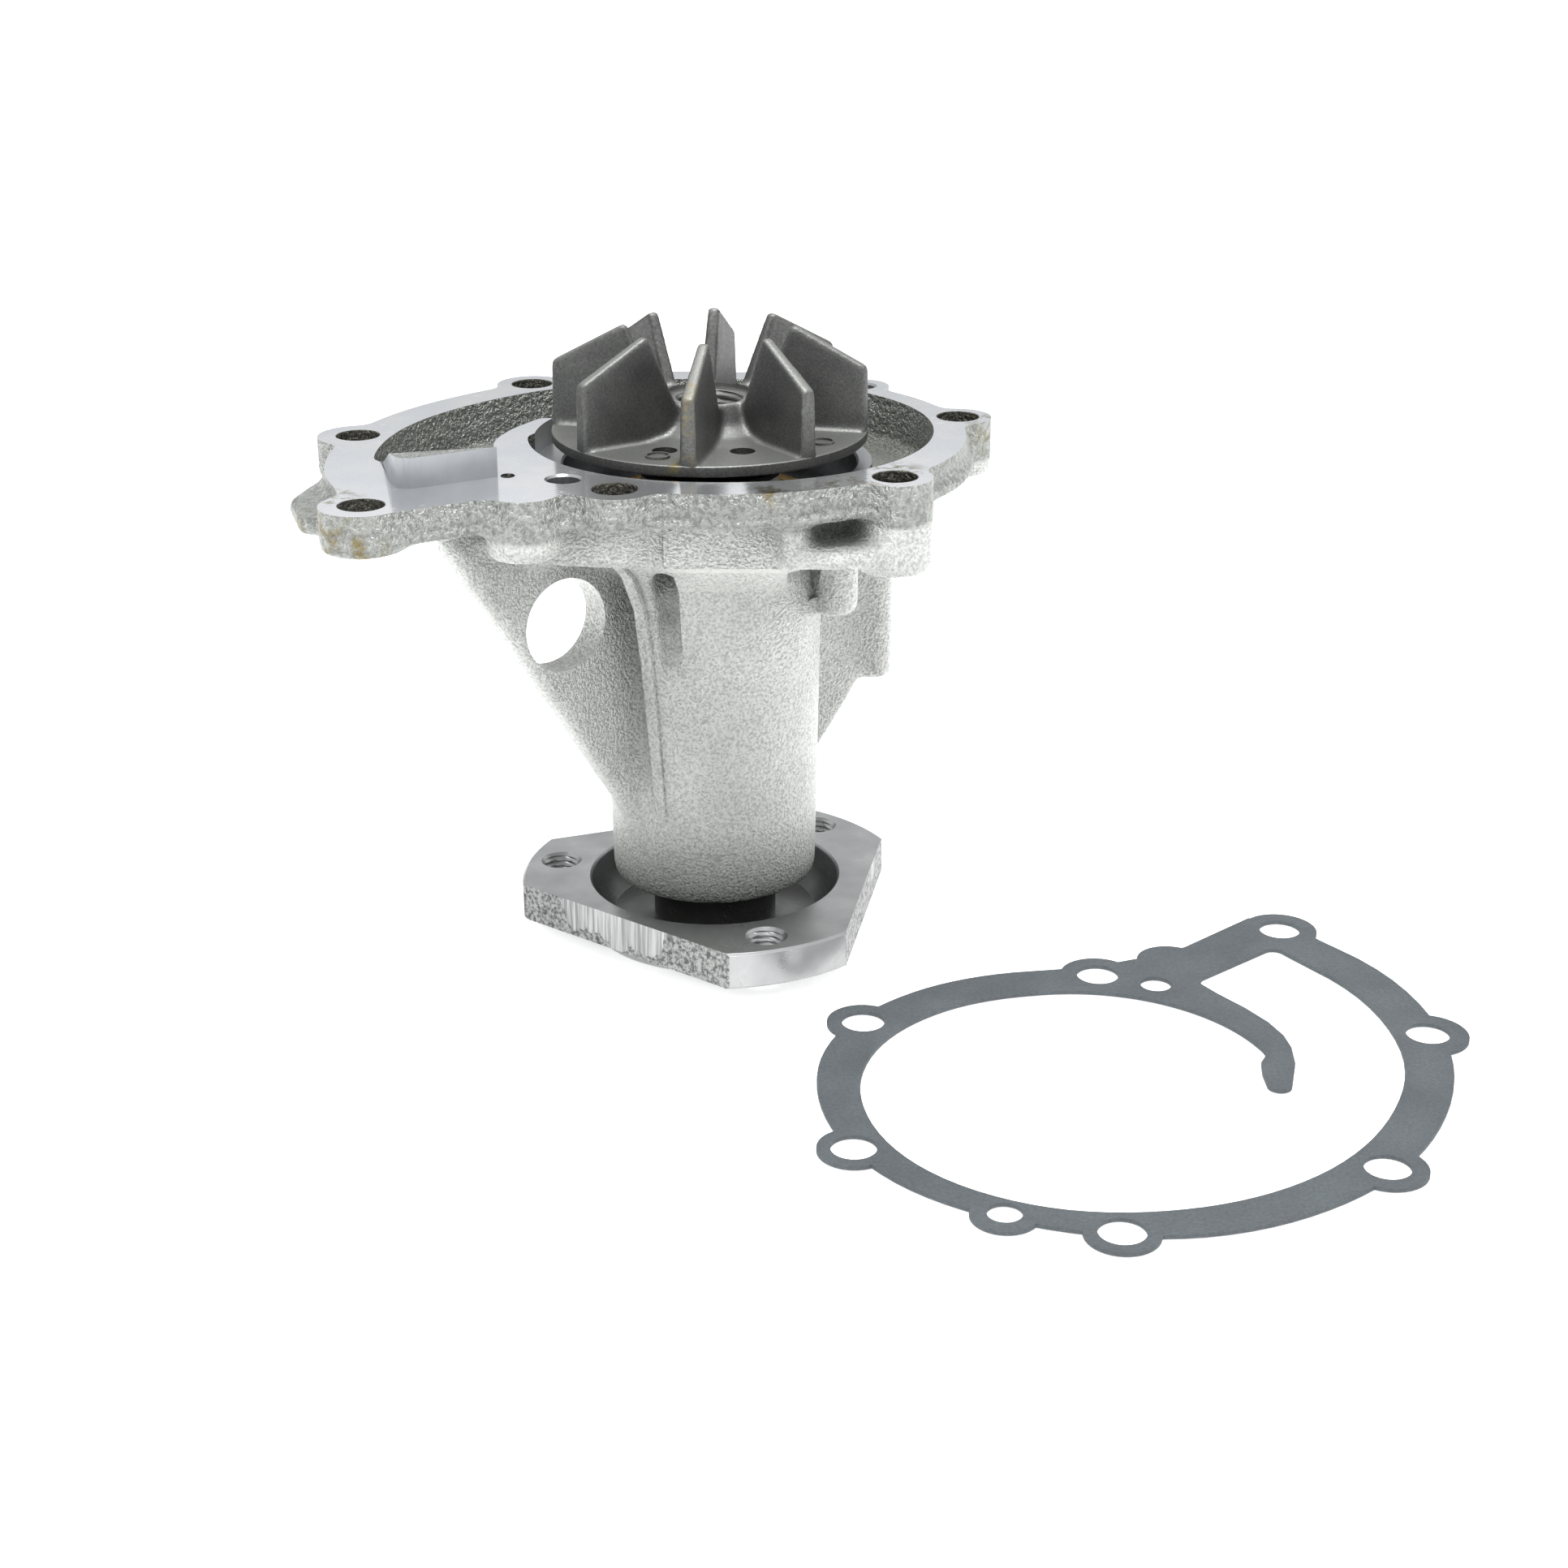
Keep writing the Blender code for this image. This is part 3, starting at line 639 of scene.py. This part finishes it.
def flange_outline(grow=0.0):
    left = [(-66.0, -50.0), (-57.8, -59.2), (-39.0, -49.0), (-30.0, -46.5), (-22.0, -45.5),
            (-10.0, -45.3)]
    return scroll_points(EDGE, -90, 210, grow) + [(x, y - grow) for x, y in left]


def volute_outline():
    corner = [(-58.6, -40.6)] + arc(-56.0, -41.6, 2.2, 200, 295, 6)
    finger = [(-37.0, -34.5), (-35.4, -32.6), (-37.2, -27.0), (-40.0, -20.0), (-42.0, -13.0),
              (-42.6, -7.0), (-42.0, -2.0), (-40.0, 4.2)]
    tip = arc(-33.7, 11.0, 2.4, 150, 0, 8)
    notch = [(-32.4, 6.0), (-33.8, 2.2), (-36.2, -0.6)]
    ring = [polar(36.4, a) for a in range(184, 266, 3)]
    return scroll_points(SCROLL, -90, 205) + corner + finger + tip + notch + ring


print("flange outline has", len(flange_outline()), "points, the volute", len(volute_outline()))

# %% [markdown]
# ## The housing
#
# A casting is one skin: ribs, bosses and walls melt into each other with fillets, and only what was
# machined afterwards has crisp edges.  So the rough shapes are laid over each other, melted into one
# skin by a voxel remesh, and then milled, turned and drilled with Boolean tools that leave the
# machined finish behind.

# %% Flange and volute stock
LIP_TOP = 103.0
UNDERSIDE = 90.5
STOCK_TOP = 110.0


def lobes(low=None, high=STOCK_TOP, trim=0.0):
    """The round lobes of the flange's edge."""
    for x, y, radius, boss_foot in [*BOLTS.values(), PLAIN_LOBE]:
        yield rod("lobe", x, y, radius - trim, boss_foot if low is None else low, high, CAST, 40)
    x, y = DOWELS["right"]
    yield rod("lobe", x, y, 6.4 - trim, 100.5 if low is None else low, high, CAST, 40)


def volute_body():
    """The chamber's outer wall, drawn in towards its underside."""
    corner = [(-63.0, -14.0), (-44.0, -30.0), (-28.0, -37.0), (-14.0, -39.0)]
    wide = scroll_points(SCROLL, -90, 180, 4.0) + corner
    body = prism("volute_body", wide, UNDERSIDE, 101.6, CAST)
    narrow = [(x, max(y, -39.6)) for x, y in scroll_points(SCROLL, -90, 180, 1.0)]
    narrow += [(-56.0, -12.0), (-42.0, -26.0), *corner[2:]]
    low = [v for v in body.data.vertices if v.co.z < UNDERSIDE + 1]
    for vertex in low:
        here = min(range(len(wide)), key=lambda i: (Vector(wide[i]) - vertex.co.xy).length)
        vertex.co.xy = narrow[here]
    edit_all(body)
    bpy.ops.mesh.quads_convert_to_tris()
    done_editing()
    return body


def neck():
    """The tube round the bearing, flaring out under the volute."""
    return turned("neck", [(0, 12.9), (21.0, 12.9), (21.4, 13.4), (22.6, 79), (23.4, 81), (25.6, 83.2),
                           (30.0, 86.5), (36.0, 90.9), (36.0, 95), (0, 95)], CAST, 96)


upper = prism("flange", flange_outline(-1.1), 100.5, STOCK_TOP, CAST)
lip = prism("lip", flange_outline(0.8), 100.6, LIP_TOP, CAST)
housing = joined(upper, lip, volute_body(), neck(), *lobes(),
                 *[rod("dowel_boss", x, y, 5.6, 99.8, 106, CAST) for x, y in DOWELS.values()])
housing.name = "pump_housing"
print("stock is", [round(side) for side in housing.dimensions], "mm")

# %% [markdown]
# ### Ribs, columns and the front panel
#
# A pierced web carries the outlet on the left, a gusset and two columns carry the right side, and a
# thin rib runs down the front of the neck.  Under the flange's front the neck swells into a flat panel,
# and a thick ledge hangs beside it.

# %% Ribs and panel
WEB_ANGLE = 220
LEDGE_FOOT = 91.6
WEB = [(12, 26), (20.8, 26), (25.0, 34), (65.5, 97), (65.5, 103), (12, 103)]
GUSSET = [(12, 26), (20.8, 28), (35.8, 46.0), (36.6, 48.5), (36.6, 98), (12, 98)]
RIB = [(12, 29), (21.3, 29), (25.4, 66), (27.4, 78), (31.4, 86), (40.0, 93), (40.0, 99), (12, 99)]
TAB = [(-66, -18), (-76.5, -24), (-78.6, -34), (-74.5, -47), (-64, -50)]


def front_panel(grow=0.0):
    """The flat panel under the front of the flange, running back into the neck, as three hulls."""
    left, right = -8.6 + 2 * grow, 14.4
    upright = [(x, -39.4 - grow, z) for x in (left, right) for z in (91.2, 100.9)]
    upright += [(x, -32.5 - grow, 88.3) for x in (left + 1.2, right)]
    upright += [(x, -20, 100.9) for x in (left, right)]
    slope = [(x, -32.5 - grow, 88.3) for x in (left + 1.2, 13.8)]
    slope += [(x, -15, 95) for x in (left + 1.6, 13.8)]
    slope += [(x, y, 82.5) for x in (left + 2.2, 12.6) for y in (-26.0 - grow, -15)]
    foot = [(x, y, z) for x in (left + 2.2, 12.6) for y, z in ((-26.0 - grow, 82.5), (-15, 90))]
    foot += [(left + 2.6, -22.2 - grow, 68.0), (8.0, -21.2 - grow, 68.0)]
    foot += [(left + 2.6, -15, 68.0), (8.0, -15, 68.0)]
    return [hull("front_panel", corners, CAST) for corners in (upright, slope, foot)]


def ledge():
    """The thick lip under the flange at the right front."""
    outline = [(14.4, -30.0), (14.4, -42.8), (24.0, -43.0), (32.0, -41.2), (42.8, -36.0),
               (43.4, -27.0), (43.0, -18.0), (30.0, -8.0), (12.0, -20.0)]
    return prism("ledge", outline, LEDGE_FOOT, 96.2, CAST)


def ledge_end():
    """The left end of the ledge, which rises to the flange's lip."""
    outline = [(14.4, -30), (14.4, -43.2), (17.6, -43.2), (19.6, -40.2), (21.4, -30)]
    return prism("ledge_end", outline, LEDGE_FOOT, 101.5, CAST)


web = plate("web", WEB, 6.6, WEB_ANGLE, CAST)
gusset = plate("gusset", GUSSET, 5, 36, CAST)
rib = plate("rib", RIB, 4.0, 243.5, CAST)
tab = prism("rough_tab", TAB, 99.6, 103.6, CAST)
columns = [rod("column", 25.2, -10.0, 4.6, 73.0, 93, CAST),
           rod("column", 33.8, 24.6, 4.5, 47.5, 93, CAST)]
joined(housing, web, gusset, rib, tab, *front_panel(), ledge(), ledge_end(), *columns)
apply_modifier(housing, "REMESH", mode="VOXEL", voxel_size=0.9)
print("one skin of", len(housing.data.polygons), "faces")

# %% [markdown]
# ### Chamber, seat ring and outlet
#
# The volute is a cast hollow with a flat floor.  A ring stands up from it round the impeller, and the
# outlet ramp lifts the flow past a wall that stands above the face.  What should melt into the skin,
# such as the groove beside the rib, goes in before casting.  What should stay crisp comes after it:
# the outlet's edges, the crest of the rib, the faces of the panel and the pocket beside it.

# %% Chamber
CHAMBER_FLOOR = 96.0
OUTLET_WALL = [(-38.7, -32.8), (-54.0, -41.4), (-55.8, -41.4), (-57.2, -40.6), (-58.9, -37.6)]
GROOVE = [(-10.6, -27.0, 89.0), (-6.0, -31.6, 89.0), (-6.4, -20.2, 89.0), (-9.4, -18.0, 86.0),
          (-6.0, -24.0, 38.0), (-6.6, -20.4, 42.0), (-8.4, -24.0, 38.0)]
CREST = [(20, 28), (21.4, 28), (26.6, 66), (28.8, 78), (33.0, 86), (39.6, 92), (30, 97), (20, 97)]
POCKET = [(15.6, -24, 86.5), (15.6, -19.6, 86.5), (20.4, -12.0, 87.0), (23.5, -20, 87.0),
          (15.2, -24, 71.0), (15.2, -17.0, 71.0), (20.6, -11.4, 77.0), (24.0, -16, 77.0)]

ramp_corners = [(x, y, z) for x, y in OUTLET_WALL for z in (100.5, FACE + 5.8)]
ramp_corners += [(-62.6, -21.0, z) for z in (100.5, FACE - 0.5)]
ramp_corners += [(-41.8, -21.0, z) for z in (100.5, FACE - 0.5)]
ramp_corners += [(x, y, z) for x, y in ((-62.8, -9), (-43.4, -6))
                 for z in (CHAMBER_FLOOR - 2, CHAMBER_FLOOR + 0.8)]

chamber = prism("chamber", volute_outline(), CHAMBER_FLOOR, 116, CAST)
cut(housing, chamber, hull("groove", GROOVE, CAST))
joined(housing, rod("seat_ring", 0, 0, 32.7, CHAMBER_FLOOR - 1, 103, CAST, 96),
       hull("outlet_ramp", ramp_corners, CAST))
cast(housing, voxel=0.85, fillet=0.75, smooth=1)
outlet = soften(hull("outlet_ramp", ramp_corners, CAST), 0.25)
crest = soften(plate("crest", CREST, 2.4, 241.8, CAST), 0.3, angle=30)
cut(housing, hull("pocket", POCKET, CAST))
united(housing, outlet, crest, *front_panel(0.4))
print("cast skin has", len(housing.data.polygons), "faces")

# %% [markdown]
# ### Milling, turning and drilling
#
# The face is milled flat round the outlet's wall, the seat and the bearing's bore are turned, and the
# bolt holes are drilled and deburred with a small chamfer.

# %% Machining
def drilled(x, y, radius, low, finish, chamfer=0.45):
    """A drill with a countersink at the face."""
    profile = [(0, low), (radius, low), (radius, FACE - chamfer), (radius + chamfer + 1, FACE + 1),
               (radius + chamfer + 1, FACE + 3), (0, FACE + 3)]
    return turned("drill", profile, finish, 40, (x, y))


def housing_bore():
    """Everything that is turned out of the housing along its axis."""
    profile = [(0, 10), (16.1, 10), (16.1, 13.2), (15.3, 14.1), (15.3, 70.3), (13.6, 70.3),
               (13.6, 72.5), (15.6, 73.5), (15.6, 79.5), (13.6, 81.0), (13.6, 83.0), (18.6, 83.0),
               (18.6, 94), (29.5, 94), (29.5, 101.6), (29.9, 102), (35.2, 102), (35.2, 112), (0, 112)]
    return turned("bore", profile, BORED_PAINTED_SHADE, 96)


def paint_shade_inside(piece):
    """Paint shade on the chamber's walls and floor with the darker copy of the cast finish.

    The ring round the impeller and the front of the flange are left out.
    """
    piece.data.materials.append(CAST_INSIDE_PAINTED_SHADE)
    for face in piece.data.polygons:
        x, y, z = face.center
        angle = math.degrees(math.atan2(y, x))
        reach = scroll(SCROLL, angle if angle > -90 else angle + 360) + 0.6
        if z > CHAMBER_FLOOR - 1 and 33.6 < math.hypot(x, y) < reach and y > -34:
            face.material_index = len(piece.data.materials) - 1


paint_shade_inside(housing)
LEFT_STANDING = [(-39.1, -32.7), (-54.0, -41.1), (-55.6, -41.2), (-57.0, -40.3), (-58.6, -37.5),
                 (-63.5, -18), (-41.0, -18)]
milling = rod("milling", 0, 0, 120, FACE, 130, MACHINED, 64)
cut(milling, prism("left_standing", LEFT_STANDING, 100, 140, BORED_PAINTED_SHADE))
cut(housing, milling)
cut(housing, housing_bore())
# The bolt holes get the darker copy, which paints shade in them.
drills = [drilled(x, y, BOLT_R, boss_foot - 1.5, CAST_HOLE_PAINTED_SHADE, chamfer=0.15)
          for x, y, _, boss_foot in BOLTS.values()]
drills.append(drilled(*DOWELS["left"], DOWEL_R, 99.5, BORED_PAINTED_SHADE))
drills.append(drilled(*DOWELS["right"], DOWEL_R, 80, BORED_PAINTED_SHADE))
drills.append(stand_on_ray(rod("window", 38.8, 76.0, 9.4, -12, 12, CAST, 64), WEB_ANGLE))
cut(housing, joined(*drills))
weep = rod("weep", 0, 0, 2.5, 12, 30, CAST)
weep.rotation_euler = (0, math.radians(90), math.radians(120))
weep.location = (0, 0, 76.5)
only(weep)
bpy.ops.object.transform_apply()
cut(housing, weep)
to_metres(housing)
stands_for(housing, "housing", "pump_body")

# %% [markdown]
# ## The impeller
#
# A flat disc carries eight straight vanes, thicker at the foot than at the edge so that the pattern
# leaves the mould.  They stand a little to one side of the rays through the axis.  Casting rounds the
# rim of the disc away, so a crisp disc is laid on after it.

# %% Impeller
DISC_TOP = 108.8
BOSS_FACE = 114.7
VANES = 8
VANE_ASIDE = 2.7


def one_vane():
    """A vane that stands on the ray along x, drawn thinner from foot to tip."""
    profile = [(8.4, 106.9), (8.4, 114.6), (10.1, 115.2), (16.1, 129.0), (16.7, 129.3), (31.2, 121.6),
               (31.4, 120.8), (31.4, 106.9)]
    vane = prism("vane", profile, -1.0, 1.0, IRON)
    for vertex in vane.data.vertices:
        high = (vertex.co.y - DISC_TOP) / 20.2
        vertex.co.z *= 1.75 - 0.6 * high
    return stand_on_ray(vane, 0, VANE_ASIDE)


def vane_ring():
    first = one_vane()
    ring = []
    for number in range(VANES):
        copy = first.copy()
        copy.data = first.data.copy()
        bpy.context.scene.collection.objects.link(copy)
        copy.rotation_euler.z = math.radians(-101 + number * 360 / VANES)
        only(copy)
        bpy.ops.object.transform_apply()
        ring.append(copy)
    bpy.data.objects.remove(first, do_unlink=True)
    return ring


disc = turned("impeller_wheel", [(0, 101.0), (11.5, 101.0), (11.5, 106.8), (31.0, 106.8),
                                 (31.0, DISC_TOP - 0.1), (19.0, DISC_TOP - 0.1), (14.0, 109.6),
                                 (11.6, 111.4), (9.6, 115.6), (0, 115.6)], IRON, 128)
impeller = cast(joined(disc, *vane_ring()), voxel=0.45, fillet=0.3, smooth=1)
united(impeller, turned("disc", [(0, 106.6), (31.2, 106.6), (31.6, 107.0), (31.6, DISC_TOP - 0.2),
                                 (31.4, DISC_TOP), (0, DISC_TOP)], IRON, 128))
print("impeller skin has", len(impeller.data.polygons), "faces")

# %% [markdown]
# ### Threads
#
# The impeller's bore and the drive flange's three holes are tapped.  A tap is a stack of extruded
# rings whose radius rises and falls once per pitch, a little later at every step round, so that the
# crests wind up as a helix.  The tool that bores the impeller faces its boss as well.

# %% Tap
RINGS_PER_PITCH = 6


def tap(name, x, y, core, crest, pitch, low, high, finish, sides=32):
    rings = math.ceil((high - low) / pitch * RINGS_PER_PITCH)
    step = (high - low) / rings
    bpy.ops.object.select_all(action="DESELECT")
    bpy.ops.mesh.primitive_circle_add(vertices=sides, radius=core, location=(x, y, low),
                                      fill_type="NGON")
    piece = bpy.context.object
    piece.name = name
    piece.data.materials.append(finish)
    bpy.ops.object.transform_apply()
    edit_all(piece)
    for _ in range(rings):
        bpy.ops.mesh.extrude_region_move(TRANSFORM_OT_translate={"value": (0, 0, step)})
    done_editing()
    for vertex in piece.data.vertices:
        out = vertex.co.xy - Vector((x, y))
        phase = ((vertex.co.z - low) / pitch - math.atan2(out.y, out.x) / (2 * math.pi)) % 1
        radius = core + (crest - core) * (1 - abs(2 * phase - 1))
        vertex.co.xy = Vector((x, y)) + out.normalized() * radius
    return piece


cut(impeller, turned("bore", [(0, 99), (8.25, 99), (8.25, 105.3), (6.45, 105.3), (6.45, 114.3),
                              (6.8, BOSS_FACE), (9.4, BOSS_FACE), (9.4, 119), (0, 119)],
                     IRON_TURNED, 64))
cut(impeller, tap("tap", 0, 0, 6.3, 6.95, 1.5, 104.2, 114.6, IRON_TURNED, 48))
for angle in (-111, -31):
    ring = [(2.0, 108), (2.5, 108), (2.4, 109.25), (2.1, 109.25)]
    united(impeller, turned("ejector_mark", ring, IRON, 40, polar(26, angle)))
holes = [rod("core_hole", *polar(21.0, a), 2.5, 104, 112, IRON, 24) for a in (-113, -71, 67, 109)]
cut(impeller, joined(*holes))
to_metres(impeller, 35)
stands_for(impeller, "impeller", "rotor")

# %% [markdown]
# ## The drive flange
#
# The flange that carries the pulley is a turned disc with three flats sawn and broken off it, each at
# its own distance from the axis, a well that clears the housing's neck, a spigot underneath and three
# tapped holes.

# %% Drive flange
HOLE_ANGLES = [49.4 + i * 120 for i in range(3)]
FLATS = {110.8: 29.4, 232.5: 30.0, 349.5: 32.5}
profile = [(8.25, 0), (26.1, 0), (26.6, 0.5), (26.6, 3.4), (40.5, 3.4), (41.0, 3.9), (41.0, 10.75),
           (40.5, 11.25), (26.7, 11.25), (26.2, 10.75), (25.0, 7.0), (21.9, 3.3), (21.5, 3.0),
           (13.0, 3.0), (13.0, 12.4), (12.6, 12.8), (8.65, 12.8), (8.25, 12.4)]
drive_flange = turned("drive_flange", profile, STEEL, 144)
for angle, flat in FLATS.items():
    profile = [(flat, -2), (60, -2), (60, 20), (flat, 20)]
    cut(drive_flange, plate("saw", profile, 90, angle, STEEL_BROKEN))
for angle in HOLE_ANGLES:
    x, y = polar(33.95, angle)
    profile = [(0, 10.4), (3.5, 10.4), (4.6, 11.5), (4.6, 14), (0, 14)]
    relief = turned("relief", profile, STEEL, 40, (x, y))
    cut(drive_flange, tap("tap", x, y, 3.4, 4.05, 1.25, 1.9, 12.6, STEEL), relief)
# The well and the top of the boss get the dark copy: painted shade and dark reflection.
drive_flange.data.materials.append(STEEL_WELL_PAINTED_SHADE)
for face in drive_flange.data.polygons:
    x, y, z = face.center
    in_well = math.hypot(x, y) < 26.3 and 2.5 < z < 11
    on_boss = math.hypot(x, y) < 13.2 and z > 2.5
    if in_well or on_boss:
        face.material_index = len(drive_flange.data.materials) - 1
to_metres(drive_flange)
stands_for(drive_flange, "pulley_hub", "rotor")

# %% [markdown]
# ## The gasket
#
# The gasket repeats the flange's outline, opening and holes, in paper 0.8 mm thick.  It is cut from a
# thicker sheet in the pump's own place, trimmed, and then turned to where it lies on the ground.

# %% Gasket
GASKET_THICK = 0.8
SHEET_THICK = 4
sheet = prism("paper_gasket", flange_outline(), 0, SHEET_THICK, FIBRE)
for lobe in lobes(low=0, high=SHEET_THICK, trim=0.2):
    united(sheet, lobe)
cut(sheet, prism("opening", volute_outline(), -2, 6, FIBRE))
punches = [rod("punch", x, y, BOLT_R, -2, 6, FIBRE) for x, y, _, _ in BOLTS.values()]
punches += [rod("punch", x, y, DOWEL_R, -2, 6, FIBRE) for x, y in DOWELS.values()]
cut(sheet, joined(*punches))
cut(sheet, rod("trim", 0, 0, 120, GASKET_THICK, 8, FIBRE))
sheet.data.materials.clear()
sheet.data.materials.append(FIBRE)
soften(sheet, 0.12)
sheet.rotation_euler.z = math.radians(193.845)
sheet.location = (73.04, -72.40, 0)
only(sheet)
bpy.ops.object.transform_apply()
to_metres(sheet)
stands_for(sheet, "gasket", "loose_gasket")

# %% [markdown]
# ## The pieces that keep their shape
#
# The shaft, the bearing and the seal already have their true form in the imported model, so they only
# get their finishes.

# %% Finishes of the inner pieces
FINISHES = {"shaft": GROUND, "bearing_outer_ring": GROUND, "ball": GROUND, "bearing_seal": NITRILE,
            "cage": NYLON, "seal_cup": DRAWN_BRASS, "seal_spring": GROUND, "seal_bellows": NITRILE,
            "seal_boot": NITRILE, "seal_carbon_ring": HARD_CARBON, "seal_ceramic_ring": SEAL_CERAMIC,
            "slinger": NITRILE}
for name, node in nodes.items():
    finish = next((made for start, made in FINISHES.items() if name.startswith(start)), None)
    if finish is not None:
        node.data.materials.clear()
        node.data.materials.append(finish)
print("finished", sum(1 for name in nodes if any(name.startswith(s) for s in FINISHES)), "inner pieces")

# %% [markdown]
# ## Floor and light
#
# A catalogue picture is taken on a table of light inside a bright tent, so the object stands on pure
# white and its undersides are lit too.  The tent is darker at the height of the object and below it,
# and the reflection of that band gives upright metal its contrast.  The camera itself sees only white
# behind the object.  A lamp overhead picks out the grain, and two weaker ones fill in from the sides.

# %% Floor
bpy.ops.object.select_all(action="DESELECT")
bpy.ops.mesh.primitive_plane_add(size=40, location=(0, 0, -0.0002))
floor = bpy.context.object
floor.name = "floor"
pale = bpy.data.materials.new("studio_floor")
pale.use_nodes = True
finish = pale.node_tree.nodes["Principled BSDF"].inputs
finish["Base Color"].default_value = linear("#FAFAFA")
finish["Roughness"].default_value = 0.6
finish["Emission Color"].default_value = linear("#FFFFFF")
finish["Emission Strength"].default_value = 0.55
floor.data.materials.append(pale)


# %% Lamps and sky
def lamp(name, place, aim, size, watts):
    data = bpy.data.lights.new(name, "AREA")
    data.shape = "RECTANGLE"
    data.size, data.size_y = size
    data.energy = watts
    made = bpy.data.objects.new(name, data)
    bpy.context.scene.collection.objects.link(made)
    made.location = place
    made.rotation_euler = (Vector(place) - Vector(aim)).to_track_quat("Z", "Y").to_euler()
    return made


lamp("overhead", (0.05, -0.12, 0.95), (0, 0, 0.08), (0.30, 0.30), 5.6)
lamp("left_front", (-0.55, -0.75, 0.75), (0, 0, 0.08), (0.15, 0.15), 1.2)
lamp("right", (0.95, -0.35, 0.45), (0, 0, 0.08), (0.25, 0.3), 0.9)

sky = bpy.data.worlds.new("tent")
sky.use_nodes = True
bpy.context.scene.world = sky
tree = sky.node_tree
direction = add(tree, "ShaderNodeTexCoord").outputs["Generated"]
height = add(tree, "ShaderNodeSeparateXYZ", {0: direction}).outputs["Z"]
glow = ramp(tree, span(tree, height, -1.0, 1.0), [(0.50, "#6A6C6E"), (0.59, "#858789"),
                                                   (0.66, "#F0F1F2"), (1.0, "#FFFFFF")])
seen = add(tree, "ShaderNodeLightPath").outputs["Is Camera Ray"]
glow = blend(tree, seen, glow, linear("#FFFFFF"))
tree.links.new(glow, tree.nodes["Background"].inputs["Color"])
tree.nodes["Background"].inputs["Strength"].default_value = 1.10
bpy.context.scene.view_settings.view_transform = "Standard"
print("three lamps and a tent of light")
